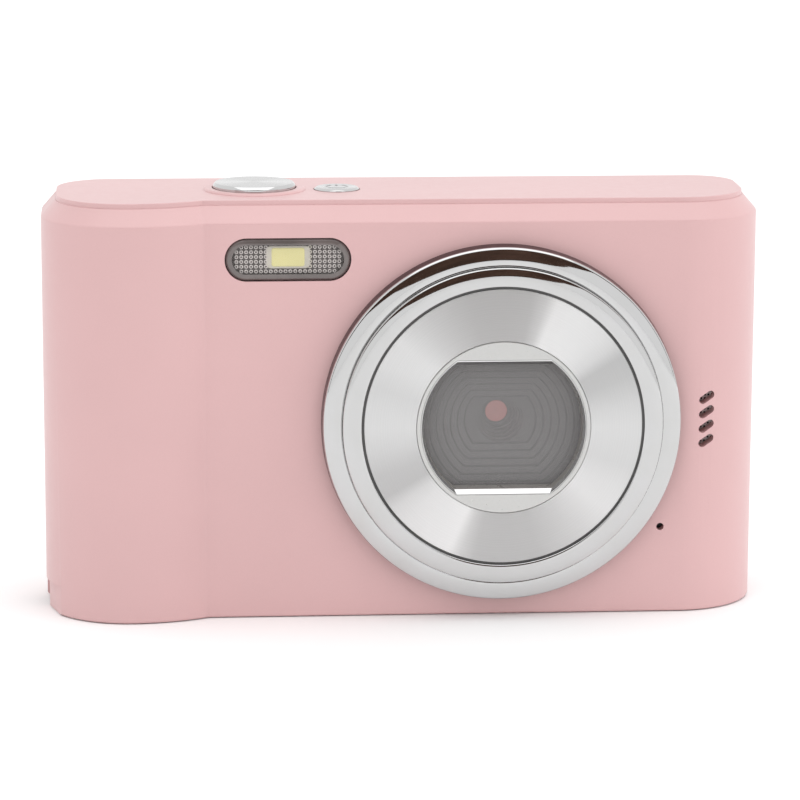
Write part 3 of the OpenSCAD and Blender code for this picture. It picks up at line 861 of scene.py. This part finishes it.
# top cover: sharp step with a small eased edge, and the raised ring
cover = quick_obj(
    "top_deck",
    lambda m: m.stack_z(
        outline,
        [(56.4, 3.4), (57.70, 3.4), (57.70, 2.1), (58.27, 2.1), (58.33, 2.12), (58.38, 2.17), (58.4, 2.25)],
    ),
)
boolean(
    cover,
    "UNION",
    quick_obj(
        "r1",
        lambda m: m.lathe(
            fillet(
                [(0, 57.0), (7.15, 57.0), (7.15, 58.46), (6.85, 58.70), (0, 58.70)],
                {2: 0.12, 3: 0.2},
                4,
            ),
            SX,
            SY,
            "z",
            128,
        ),
    ),
)
boolean(
    cover,
    "DIFFERENCE",
    quick_obj("h1", lambda m: m.lathe([(0, 50), (5.87, 50), (5.87, 58.60), (5.97, 58.8), (0, 58.8)], SX, SY, "z", 128)),
    quick_obj("h2", lambda m: m.lathe([(0, 50), (3.25, 50), (3.25, 58.32), (3.36, 58.8), (0, 58.8)], PX, PY, "z", 96)),
)
dress(cover, pink, "camera_body", ["top_cover"])

# ---------------------------------------------------------------- buttons on top
m = Mesh()
prof = [(0, 53.1), (1.2, 53.1), (1.2, 55.5), (6.4, 55.5), (6.4, 56.3), (5.80, 56.3)]
prof += [(5.80, 56.5), (5.76, 58.98), (5.73, 59.06), (5.50, 59.36), (5.43, 59.405), (5.35, 59.42)]
prof += [(4.4, 59.43), (3.0, 59.435), (1.5, 59.44), (0, 59.44)]
k = [1] * (len(prof) - 1)
for i in range(5):
    k[-1 - i] = 0
m.lathe(prof, SX, SY, "z", 160, mats=k)
dress(m.obj("shutter_cap"), [button_mat, chrome_ring], "shutter_button", ["shutter_button"], 22)

m = Mesh()
prof = [(0, 52.5), (1, 52.5), (1, 55.6), (3.8, 55.6), (3.8, 56.3), (3.15, 56.3)]
prof += [(3.15, 58.46), (3.13, 58.5), (2.88, 58.70), (2.82, 58.73), (2.7, 58.74), (0, 58.74)]
k = [1] * (len(prof) - 1)
k[-1] = k[-2] = 0
m.lathe(prof, PX, PY, "z", 128, mats=k)
pw = m.obj("power_cap")


def power_icon(m):
    """Open ring with a bar, cut a little way into the cap."""
    pts_o, pts_i = [], []
    for i in range(41):
        a = math.radians(90 + 32 + (360 - 64) * i / 40)
        pts_o.append((PX + 1.56 * math.cos(a), PY + 1.56 * math.sin(a)))
        pts_i.append((PX + 1.24 * math.cos(a), PY + 1.24 * math.sin(a)))
    m.prism_z(pts_o + pts_i[::-1], 58.665, 59.0)
    m.prism_z([(PX - 0.16, PY + 0.35), (PX + 0.16, PY + 0.35), (PX + 0.16, PY + 1.6), (PX - 0.16, PY + 1.6)], 58.665, 59.0)


boolean(pw, "DIFFERENCE", quick_obj("pi", power_icon))
dress(pw, [power_mat, chrome_ring], "power_button", ["power_button"], 22)

# ---------------------------------------------------------------- lens rings
outer = [(22.15, 0.0), (24.97, 0.0), (24.80, -1.92), (24.785, -2.01), (24.75, -2.09)]
outer += [(24.69, -2.17), (24.60, -2.245), (24.45, -2.32), (24.15, -2.435), (23.85, -2.53)]
outer += [(23.55, -2.60), (23.30, -2.645), (23.10, -2.67), (22.90, -2.68), (22.72, -2.675)]
outer += [(22.50, -2.66), (22.32, -2.64), (22.22, -2.61), (22.165, -2.56), (22.15, -2.48)]
m = Mesh()
# the outer side wall takes the dark pink chrome, a painted reflection of the body
km = [1, 1] + [0] * (len(outer) - 2)
m.lathe(outer, LX, LZ, "y", 256, closed=True, mats=km)
dress(m.obj("outer_ring"), [chrome_ring, chrome_wall_painted_reflection], "camera_body", ["lens_outer_ring"], 40, False)

inner = [(19.52, -0.5), (22.14, -0.5), (22.13, -3.16), (22.115, -3.24), (22.07, -3.31)]
inner += [(22.00, -3.36), (21.85, -3.425), (21.65, -3.495), (21.45, -3.55), (21.25, -3.59)]
inner += [(21.05, -3.615), (20.80, -3.63), (20.45, -3.64), (20.05, -3.645), (19.85, -3.64)]
inner += [(19.70, -3.62), (19.60, -3.57), (19.54, -3.50), (19.52, -3.40)]
m = Mesh()
m.lathe(inner, LX, LZ, "y", 256, closed=True)
dress(m.obj("inner_ring"), chrome_ring, "camera_body", ["lens_inner_ring"], 40, False)

m = Mesh()
prof = fillet(
    [(12.05, -2.55), (19.50, -2.55), (19.50, -3.22), (19.20, -3.22), (19.20, -3.50), (12.12, -3.97), (12.05, -3.93)],
    {4: 0.12},
    4,
)
m.lathe(prof, LX, LZ, "y", 256, closed=True, mats=[0, 0, 1, 1] + [0] * (len(prof) - 4))
dress(m.obj("spun_ring"), [disc_mat, groove_mat], "camera_body", ["lens_disc"], 30, False)

# plate with the flat-sided opening
pl = quick_obj(
    "window_plate",
    lambda m: m.lathe([(0, -3.5), (12.0, -3.5), (12.0, -3.97), (11.97, -4.02), (11.91, -4.05), (0, -4.05)], LX, LZ, "y", 192),
)


def d_cut(m):
    m.rings(
        [
            [(x, y, z) for x, z in dshape(11.42 + g, 9.40 + g)]
            for y, g in ((-5.0, 0.07), (-4.05, 0.07), (-3.98, 0.0), (-3.0, 0.0))
        ]
    )


boolean(pl, "DIFFERENCE", quick_obj("dc", d_cut))
dress(pl, plate_mat, "camera_body", ["lens_plate"], 18)

m = Mesh()
m.rings(
    [
        [(x, y, z) for x, z in dshape(r, h)]
        for r, h, y in (
            (11.41, 9.39, -4.02),
            (11.37, 9.35, -4.055),
            (11.31, 9.28, -4.05),
            (11.27, 9.22, -4.00),
            (11.04, 8.74, -3.54),
            (11.02, 8.71, -3.51),
            (11.005, 8.685, -3.48),
            (10.995, 8.665, -3.44),
            (10.90, 8.50, -1.83),
            (11.65, 9.95, -1.83),
            (11.65, 9.95, -3.49),
            (11.41, 9.39, -3.49),
        )
    ],
    loop=True,
    # the deep inner wall takes the painted-reflection grey instead of chrome
    mats=[0, 0, 0, 0, 0, 1, 1, 1, 0, 0, 0, 0],
)
dress(m.obj("window_frame"), [chrome_in, wall_painted_reflection_mat], "camera_body", ["window_bezel"], 25)

m = Mesh()
m.lathe([(0, -1.8), (11.6, -1.8), (11.75, -1.72), (11.75, -1.38), (11.65, -1.3), (0, -1.3)], LX, LZ, "y", 128)
dress(m.obj("window_pane"), hazy, "camera_body", ["lens_window"], 30)

# stepped light trap: treads in the lighter baffle plastic, risers and the rear walls in a darker copy of it as painted
# shade
m = Mesh()
loops, kinds = [], []
y = -1.22
for i in range(6):
    r, h = 10.2 - 1.02 * i, 8.3 - 0.98 * i
    yb = -0.85 + 0.5 * i
    loops.append([(px, y, pz) for px, pz in dshape(r + 0.05, h + 0.05)])
    loops.append([(px, y + 0.05, pz) for px, pz in dshape(r, h)])
    loops.append([(px, yb - 0.04, pz) for px, pz in dshape(r - 0.20, h - 0.17)])
    loops.append([(px, yb, pz) for px, pz in dshape(r - 0.24, h - 0.20)])
    kinds += [0, 1, 1, 0]
    y = yb
nn = len(loops[0])


def ring_like(r, y):
    """Circle with its points at the same bearings as the flat-sided loops."""
    out = []
    for px, pz in dshape(4.2, 3.62):
        a = math.atan2(pz - LZ, px - LX)
        out.append((LX + r * math.cos(a), y, LZ + r * math.sin(a)))
    return out


y = 1.65
for i in range(5):
    r, yb = 3.2 - 0.28 * i, 2.75 + 1.1 * i
    loops.append(ring_like(r + 0.03, y))
    loops.append(ring_like(r, y + 0.04))
    loops.append(ring_like(r - 0.06, yb))
    kinds += [0, 1, 0]
    y = yb
loops.append(ring_like(1.60, y))
loops.append(ring_like(1.55, y + 0.04))
loops.append(ring_like(1.55, 7.4))
loops.append(ring_like(11.8, 7.4))
loops.append([(px, -1.22, pz) for px, pz in dshape(11.8, 11.79)])
kinds += [1, 1, 1, 1, 0]
m.rings(loops, loop=True, mats=kinds)
dress(m.obj("light_trap"), [baffle_mat, riser_shade_mat], "camera_body", ["lens_baffle"], 30)

m = Mesh()
prof = [(0, 7.62)] + [(0.25 * i, 7.62 + 0.034 * (0.25 * i) ** 2 * 2.2) for i in range(1, 8)]
prof += [(2.0, 8.0), (2.0, 9.3), (0, 9.3)]
m.lathe(prof, LX, LZ, "y", 64)
dress(m.obj("front_element"), element_glow, "camera_body", ["lens_front_element"], 40)

# ---------------------------------------------------------------- flash
def flash_plan(d):
    return rrect(FX, FZ, 17.2, 5.85, 2.92, d, 18)


m = Mesh()
lv = [(2.2, -0.68), (1.7, -0.68), (1.7, 0.0), (0.75, 0.0), (0.50, 0.03), (0.32, 0.12)]
lv += [(0.18, 0.27), (0.10, 0.46), (0.06, 0.68), (0.05, 0.92)]
faces = m.stack_y(flash_plan, lv, mat=0)
# the rounded rim takes the painted shade, the flat front the clear window
faces[-1].material_index = 1
dress(m.obj("flash_lens"), [flash_rim_shade_mat, clear], "camera_body", ["flash_window"], 40)

# moulded dimple field behind the window, with the lamp in its middle; one moulding in three tones, lighter ridges over
# darker pits and gaps, as painted light and shade
m = Mesh()
m.stack_y(lambda d: rrect(FX, FZ, 15.35, 4.15, 2.0, d, 12), [(0.95, 0), (0.66, 0), (0.62, 0.05)], mat=0)
PITCH = 0.672
lamp = (FX + 0.02, FZ + 0.29, 4.55, 2.62)
for i in range(-11, 11):
    for j in range(-3, 3):
        x = FX + (i + 0.5) * PITCH
        z = FZ + (j + 0.5) * PITCH
        ex = abs(x - FX) - (15.2 / 2 - 2.0)
        if abs(z - FZ) > 1.0 and ex > 0 and math.hypot(ex, abs(z - FZ)) > 2.06:
            continue
        if abs(x - FX) > 7.35:
            continue
        if abs(x - lamp[0]) < lamp[2] / 2 + 0.12 and abs(z - lamp[1]) < lamp[3] / 2 + 0.1:
            continue
        near = abs(x - lamp[0]) < lamp[2] / 2 + 0.75 and abs(z - lamp[1]) < lamp[3] / 2 + 0.2
        prof = [(0, 0.58), (0.075, 0.575), (0.13, 0.52), (0.165, 0.495), (0.215, 0.495)]
        prof += [(0.26, 0.53), (0.285, 0.60), (0, 0.61)]
        # pit centres dark, ridge rings light: painted shade and highlight
        ks = [2, 2, 1, 1, 1, 1, 0]
        if near:
            ks = [0, 0, 3, 3, 3, 3, 0]
        m.lathe(prof, x, z, "y", 14, mats=ks)
dress(m.obj("flash_diffuser"), [cell_gap_shade_mat, cell_mat, cell_pit_shade_mat, white_pad], "camera_body", ["flash_reflector"], 50, False)

m = Mesh()
m.stack_y(lambda d: rrect(lamp[0], lamp[1], 6.1, 3.15, 0.7, d, 6), [(0.60, 0), (0.545, 0.02), (0.525, 0.12), (0.52, 0.3)], mat=1)
m.stack_y(lambda d: rrect(lamp[0], lamp[1], lamp[2], lamp[3], 0.35, d, 6), [(0.56, 0), (0.50, 0.02), (0.475, 0.12), (0.47, 0.35)], mat=0)
dress(m.obj("flash_lamp"), [phosphor, white_pad], "camera_body", ["flash_led"], 60)

# ---------------------------------------------------------------- speaker mesh
m = Mesh()


def perforated(m, x0, z0, nx, nz, p, r, y0, y1, k=3):
    """Plate of square cells, each with a round hole, as one closed sheet."""
    bm = m.bm
    pool = {}

    def vert(x, y, z):
        key = (round(x, 5), round(y, 5), round(z, 5))
        if key not in pool:
            pool[key] = bm.verts.new(R((x, y, z)))
        return pool[key]

    faces = []
    for i in range(nx):
        for j in range(nz):
            cx, cz = x0 + (i + 0.5) * p, z0 + (j + 0.5) * p
            sq = []
            for t in range(4 * k):
                s, q = divmod(t, k)
                f = -1 + 2 * q / k
                sx, sz = ((1, f), (-f, 1), (-1, -f), (f, -1))[s]
                sq.append((cx + sx * p / 2, cz + sz * p / 2))
            ci = []
            for sx, sz in sq:
                a = math.atan2(sz - cz, sx - cx)
                ci.append((cx + r * math.cos(a), cz + r * math.sin(a)))
            n = len(sq)
            for t in range(n):
                u = (t + 1) % n
                a0, a1 = vert(sq[t][0], y0, sq[t][1]), vert(sq[u][0], y0, sq[u][1])
                b0, b1 = vert(ci[t][0], y0, ci[t][1]), vert(ci[u][0], y0, ci[u][1])
                c0, c1 = vert(ci[t][0], y1, ci[t][1]), vert(ci[u][0], y1, ci[u][1])
                d0, d1 = vert(sq[t][0], y1, sq[t][1]), vert(sq[u][0], y1, sq[u][1])
                faces.append(bm.faces.new((a0, a1, b1, b0)))
                faces.append(bm.faces.new((b0, b1, c1, c0)))
                faces.append(bm.faces.new((c0, c1, d1, d0)))
                edge = (t // k, i, j)
                if edge[0] == 0 and i == nx - 1 or edge[0] == 2 and i == 0 or edge[0] == 1 and j == nz - 1 or edge[0] == 3 and j == 0:
                    faces.append(bm.faces.new((a1, a0, d0, d1)))
    bmesh.ops.recalc_face_normals(bm, faces=faces)


perforated(m, 39.82, 22.62, 7, 19, 0.503, 0.155, 2.95, 3.08)
dress(m.obj("speaker_grille"), mesh_mat, "camera_body", ["speaker_mesh"], 40, False)

# ---------------------------------------------------------------- rear: screen
m = Mesh()
m.stack_y(
    lambda d: rrect(12.0, 29.0, 59.0, 46.0, 1.5, d, 10),
    [(24.4, 0.0), (25.22, 0.0), (25.32, 0.03), (25.38, 0.10), (25.40, 0.22)],
)
dress(m.obj("screen_cover_glass"), screen, "camera_body", ["screen_cover"], 40)


# ---------------------------------------------------------------- rear: keys
def icon(m, polys, y, mat=1, t=0.03):
    for poly in polys:
        m.prism_y(poly, y - 0.05, y + t, mat)


def bar(x0, x1, z0, z1):
    return [(x0, z0), (x1, z0), (x1, z1), (x0, z1)]


def arc_band(cx, cz, r0, r1, a0, a1, n=24):
    o = [(cx + r1 * math.cos(math.radians(a0 + (a1 - a0) * i / n)), cz + r1 * math.sin(math.radians(a0 + (a1 - a0) * i / n))) for i in range(n + 1)]
    q = [(cx + r0 * math.cos(math.radians(a0 + (a1 - a0) * i / n)), cz + r0 * math.sin(math.radians(a0 + (a1 - a0) * i / n))) for i in range(n + 1)]
    return o + q[::-1]


KT = 25.80


def round_key(name, x, z, polys):
    m = Mesh()
    prof = [(0, 21.95), (0.9, 21.95), (0.9, 22.9), (3.1, 22.9), (3.1, 23.6), (2.5, 23.6)]
    prof += [(2.5, KT - 0.24), (2.47, KT - 0.13), (2.39, KT - 0.04), (2.26, KT), (1.6, KT - 0.02), (0, KT - 0.03)]
    m.lathe(prof, x, z, "y", 72)
    icon(m, polys, KT - 0.02)
    dress(m.obj(name + "_cap"), [pink_key, print_grey], name, [name], 30)


def oblong_key(name, x, polys):
    m = Mesh()
    fx0 = max(x - 4.1, -41.2)
    m.stack_y(lambda d: rrect((fx0 + x + 4.1) / 2, 48.5, x + 4.1 - fx0, 5.6, 2.5, d, 10), [(22.9, 0), (23.6, 0)])
    m.stack_y(
        lambda d: rrect(x, 48.5, 7.0, 4.4, 2.0, d, 10),
        [(23.5, 0), (KT - 0.24, 0.0), (KT - 0.13, 0.03), (KT - 0.04, 0.11), (KT, 0.24)],
    )
    m.lathe([(0, 21.95), (0.9, 21.95), (0.9, 23.0), (0, 23.0)], x, 48.5, "y", 32)
    icon(m, polys, KT)
    dress(m.obj(name + "_cap"), [pink_key, print_grey], name, [name], 30)


def glass_icon(x, z, plus):
    """Magnifier with a plus or a minus."""
    ps = [arc_band(x - 0.2, z + 0.2, 0.75, 0.95, 0, 359.9, 36)]
    ps.append([(x + 0.38, z - 0.5), (x + 0.5, z - 0.38), (x + 1.05, z - 0.93), (x + 0.93, z - 1.05)])
    ps.append(bar(x - 0.6, x + 0.2, z + 0.11, z + 0.29))
    if plus:
        ps.append(bar(x - 0.29, x - 0.11, z + 0.29, z + 0.6))
        ps.append(bar(x - 0.29, x - 0.11, z - 0.2, z + 0.11))
    return ps


zo, zi = (PAD_X + 6.5, 48.5), (PAD_X - 6.5, 48.5)
oblong_key("key_zoom_out", zo[0], glass_icon(*zo, False))
oblong_key("key_zoom_in", zi[0], glass_icon(*zi, True))
x, z = PAD_X + 6.5, 40
round_key(
    "key_mode",
    x,
    z,
    [arc_band(x, z, 0.32, 0.5, 0, 359.9, 24)]
    + [bar(x - 1.1, x + 1.1, z + 0.62, z + 0.76), bar(x - 1.1, x + 1.1, z - 0.76, z - 0.62)]
    + [bar(x - 1.1, x - 0.96, z - 0.62, z + 0.62), bar(x + 0.96, x + 1.1, z - 0.62, z + 0.62)],
)
x = PAD_X - 6.5
round_key("key_menu", x, z, [bar(x - 0.95, x + 0.95, z + d - 0.1, z + d + 0.1) for d in (0.6, 0, -0.6)])
x, z = PAD_X + 6.5, 12.5
round_key("key_play", x, z, [[(x + 0.6, z - 0.85), (x + 0.6, z + 0.85), (x - 0.85, z)][::-1]])
x = PAD_X - 6.5
round_key(
    "key_delete",
    x,
    z,
    [
        [(x - 0.55, z - 0.9), (x + 0.55, z - 0.9), (x + 0.68, z + 0.35), (x - 0.68, z + 0.35)],
        bar(x - 0.85, x + 0.85, z + 0.47, z + 0.64),
        bar(x - 0.3, x + 0.3, z + 0.7, z + 0.84),
    ],
)


def ring_key(name, a):
    """One quarter of the four-way ring, with a plunger and a small arrow."""
    m = Mesh()
    steps = 18
    prof = [(4.15, 22.9), (9.1, 22.9), (9.1, 23.6), (8.4, 23.6), (8.4, KT - 0.28)]
    prof += [(8.36, KT - 0.14), (8.27, KT - 0.04), (8.12, KT), (6.2, KT - 0.05), (4.4, KT), (4.27, KT - 0.04), (4.18, KT - 0.13), (4.15, KT - 0.24)]
    rings = []
    g = 0.21
    for i in range(steps + 1):
        ring = []
        for r, y in prof:
            half = math.radians(45) - math.asin(g / r)
            t = math.radians(a) - half + 2 * half * i / steps
            ring.append((PAD_X + r * math.cos(t), y, PAD_Z + r * math.sin(t)))
        rings.append(ring)
    m.rings(rings)
    cx, cz = PAD_X + 6.5 * math.cos(math.radians(a)), PAD_Z + 6.5 * math.sin(math.radians(a))
    m.lathe([(0, 21.95), (0.9, 21.95), (0.9, 23.0), (0, 23.0)], cx, cz, "y", 32)
    c, s = math.cos(math.radians(a)), math.sin(math.radians(a))
    tri = [(0.55, 0.0), (-0.35, 0.62), (-0.35, -0.62)]
    icon(m, [[(cx + u * c - v * s, cz + u * s + v * c) for u, v in tri]], KT - 0.04)
    dress(m.obj(name + "_cap"), [pink_key, print_grey], name, [name], 30)


for nm, a in (("key_right", 0), ("key_up", 90), ("key_left", 180), ("key_down", 270)):
    ring_key(nm, a)

m = Mesh()
prof = [(0, 21.95), (4.5, 21.95), (4.5, 22.4), (3.9, 22.5), (3.9, KT - 0.3), (3.86, KT - 0.16)]
prof += [(3.76, KT - 0.07), (3.6, KT - 0.04), (2.4, KT - 0.10), (0, KT - 0.14)]
m.lathe(prof, PAD_X, PAD_Z, "y", 96)
icon(m, [arc_band(PAD_X, PAD_Z, 0.85, 1.05, 0, 359.9, 36)], KT - 0.12)
dress(m.obj("key_ok_cap"), [pink_key, print_grey], "key_ok", ["key_ok"], 30)

m = Mesh()
m.lathe([(0, 21.4), (0.8, 21.4), (0.8, 22.9), (1.3, 22.9), (1.3, 23.7), (0.8, 23.7), (0.8, 25.2), (0.7, 25.33), (0.45, 25.38), (0, 25.4)], PAD_X, 40, "y", 40)
dress(m.obj("status_lens"), pipe, "camera_body", ["status_light"], 40)

# ---------------------------------------------------------------- underside
door = quick_obj(
    "door_panel",
    lambda m: m.stack_z(
        lambda d: rrect(-25.75, 7.2, 35.3, 10.4, 0.45, d, 6),
        [(1.55, 0.0), (0.25, 0.0), (0.14, 0.03), (0.07, 0.10), (0.05, 0.2)],
    ),
)
boolean(
    door,
    "UNION",
    quick_obj("k1", lambda m: m.lathe([(0, -43.4), (0.75, -43.4), (0.75, -8.1), (0, -8.1)], 12.25, 0.8, "x", 40)),
)


def door_cuts(m):
    m.lathe([(0, -44), (0.45, -44), (0.45, -7), (0, -7)], 12.25, 0.8, "x", 32)
    m.prism_z(rrect(-26.5, 5.8, 8.0, 2.4, 0.3, 0, 4), -1, 3)
    # finger ribs beside the latch
    for i in range(6):
        m.prism_z(rrect(-38.6 + i * 0.9, 6.0, 0.42, 4.6, 0.2, 0, 4), -1, 0.22)


boolean(door, "DIFFERENCE", quick_obj("k2", door_cuts))
dress(door, pink, "battery_door", ["battery_door"])

lat = quick_obj(
    "latch_slider",
    lambda m: (
        m.stack_z(lambda d: rrect(-27.5, 5.8, 5.8, 2.2, 0.3, d, 5), [(1.7, 0.0), (0.28, 0.0), (0.18, 0.05), (0.15, 0.14)]),
        m.stack_z(lambda d: rrect(-27.5, 5.8, 7.4, 3.6, 0.3, d, 5), [(2.1, 0.0), (1.62, 0.0)]),
    ),
)


def latch_cuts(m):
    for i in range(5):
        x = -29.4 + i * 0.9
        m.rings(
            [
                [(x - 0.26, y, 0.1), (x + 0.26, y, 0.1), (x + 0.12, y, 0.42), (x - 0.12, y, 0.42)]
                for y in (4.95, 6.65)
            ]
        )


boolean(lat, "DIFFERENCE", quick_obj("lc", latch_cuts))
dress(lat, black, "door_latch", ["door_latch"])

# tripod socket with its thread
m = Mesh()
prof = [(0, 6.0), (4.0, 6.0), (4.0, 3.4), (4.5, 3.4), (4.5, 2.45), (4.0, 2.45), (4.0, 0.28), (3.92, 0.14), (3.82, 0.1), (3.45, 0.1)]
z0 = 0.38
while z0 < 4.6:
    prof += [(3.2, z0), (3.2, z0 + 0.12), (3.46, z0 + 0.62), (3.46, z0 + 0.72)]
    z0 += 1.27
prof += [(3.2, 5.0), (0, 5.0)]
m.lathe(prof, LX, 9, "z", 72)
dress(m.obj("tripod_socket"), brass, "camera_body", ["tripod_nut"], 30)

# ---------------------------------------------------------------- CAD nodes that stay, with finishes of their own
FINISH = {
    "shutter_spring": spring_mat,
    "top_switches": black,
    "top_board": board,
    "flash_board": board,
    "lens_barrel": barrel_mat,
    "lens_rear_element": front_glass,
    "lens_holder": black,
    "image_sensor": sensor_mat,
    "sensor_board": board,
    "main_board": board,
    "main_chips": black,
    "lcd_panel": screen_black,
    "lcd_frame": steel,
    "key_board": board,
    "key_domes": steel,
    "battery": wrap,
    "battery_tray": black,
    "battery_contacts": gold,
    "battery_catch": orange,
    "door_hinge_pin": steel,
    "memory_card": card_mat,
    "card_socket": steel,
    "usb_socket": steel,
    "speaker": black,
    "microphone": black,
    "strap_bar": steel,
    "screws": steel,
}
for name, o in NODES.items():
    if name in FINISH:
        if not o.material_slots:
            o.data.materials.append(FINISH[name])
        for s in o.material_slots:
            s.material = FINISH[name]

# ---------------------------------------------------------------- floor, light and camera
LOW = CAD_BOX[0][2]


def stage_plane(name, corners, material):
    me = bpy.data.meshes.new(name)
    me.from_pydata(corners, [], [tuple(range(len(corners)))])
    o = bpy.data.objects.new(name, me)
    COL.objects.link(o)
    me.materials.append(material)
    return o


fl = Mat("pale_floor", (0.94, 0.94, 0.94, 1), 0.6, spec=0.2)
fl.color(fl.ramp(fl.noise(6, 2.0), [(0.3, (0.935, 0.935, 0.935, 1)), (0.7, (0.945, 0.945, 0.945, 1))]))
stage_plane(
    "floor",
    [(-6, -6, LOW - 0.00005), (6, -6, LOW - 0.00005), (6, 6, LOW - 0.00005), (-6, 6, LOW - 0.00005)],
    fl.m,
)

world = bpy.data.worlds.new("studio") if not bpy.context.scene.world else bpy.context.scene.world
bpy.context.scene.world = world
world.use_nodes = True
bg = world.node_tree.nodes.get("Background")
bg.inputs["Color"].default_value = (1.0, 1.0, 1.0, 1)
bg.inputs["Strength"].default_value = 1.09


def dark_card(name, color, pts):
    mt = Mat(name + "_cloth", color, 0.9, spec=0.1)
    mt.color(mt.ramp(mt.noise(5, 3.0), [(0.3, color), (0.7, tuple(c * 0.6 for c in color[:3]) + (1,))]))
    o = stage_plane(name, pts, mt.m)
    o.visible_camera = False
    o.visible_shadow = False
    o.visible_diffuse = False
    return o


def polar(az, el, dist):
    """Point seen from the lens at a bearing to the right of the camera side and an elevation."""
    a, e = math.radians(az), math.radians(el)
    return (
        LX * MM + dist * math.sin(a) * math.cos(e),
        -0.012 - dist * math.cos(a) * math.cos(e),
        LZ * MM + dist * math.sin(e),
    )


def card(name, color, pts, dist=1.4):
    dark_card(name, color, [polar(az, el, dist) for az, el in pts])


# a ragged dark arch: bearing round the lens axis, then the least and greatest tilt it is seen at
ARCH = [
    (-82, 32, 34), (-66, 29, 33), (-52, 25, 32), (-40, 19, 31), (-25, 9.5, 30), (-10, 7, 30),
    (5, 6.8, 30), (14, 8, 30), (24, 17, 30), (36, 26, 31.5), (55, 29.5, 33), (78, 32, 34),
]


def arch_point(bearing, tilt):
    b = math.radians(bearing)
    return (5.7 + 2 * tilt * math.sin(b), -12 + 2 * tilt * math.cos(b))


for i in range(len(ARCH) - 1):
    (b0, lo0, hi0), (b1, lo1, hi1) = ARCH[i], ARCH[i + 1]
    shade = 1.0 - 0.06 * abs(i - 5)
    card(
        "card_%02d" % i,
        (0.090 * shade, 0.050 * shade, 0.036 * shade, 1),
        [arch_point(b0, lo0), arch_point(b1, lo1), arch_point(b1, hi1), arch_point(b0, hi0)],
    )


def area(name, loc, target, sx, sy, power, glossy=True, color=(1, 1, 1)):
    li = bpy.data.lights.new(name, "AREA")
    li.shape = "RECTANGLE"
    li.size, li.size_y = sx, sy
    li.energy = power
    li.color = color
    o = bpy.data.objects.new(name, li)
    COL.objects.link(o)
    o.location = loc
    d = Vector(target) - Vector(loc)
    o.rotation_euler = d.to_track_quat("-Z", "Y").to_euler()
    o.visible_camera = False
    o.visible_glossy = glossy
    return o


area("overhead", (0.0, -0.3, 1.3), (0, 0, 0.02), 1.6, 1.2, 4.8)
area("fill_right", (1.3, -0.25, 0.45), (0.03, 0, 0.03), 0.9, 0.8, 3.4, glossy=False)

cam_data = bpy.data.cameras.new("camera")
cam = bpy.data.objects.new("camera", cam_data)
COL.objects.link(cam)
cam_data.sensor_width = 36.0
cam_data.sensor_fit = "HORIZONTAL"
cam_data.lens = 3677.27 * 36.0 / 800.0
cam_data.clip_start = 0.01
cam_data.clip_end = 50
e, psi, roll = math.radians(11.749), math.radians(-4.099), math.radians(0.212)
back = Vector((math.sin(psi) * math.cos(e), -math.cos(psi) * math.cos(e), math.sin(e)))
fwd = -back
right = fwd.cross(Vector((0, 0, 1))).normalized()
up = right.cross(fwd)
r2 = right * math.cos(roll) + up * math.sin(roll)
u2 = -right * math.sin(roll) + up * math.cos(roll)
place = Matrix((r2, u2, back)).transposed().to_4x4()
place.translation = Vector((-0.036314, -0.506489, 0.134068))
cam.matrix_world = place
bpy.context.scene.camera = cam
bpy.context.scene.view_settings.view_transform = "Standard"

bpy.context.view_layer.update()
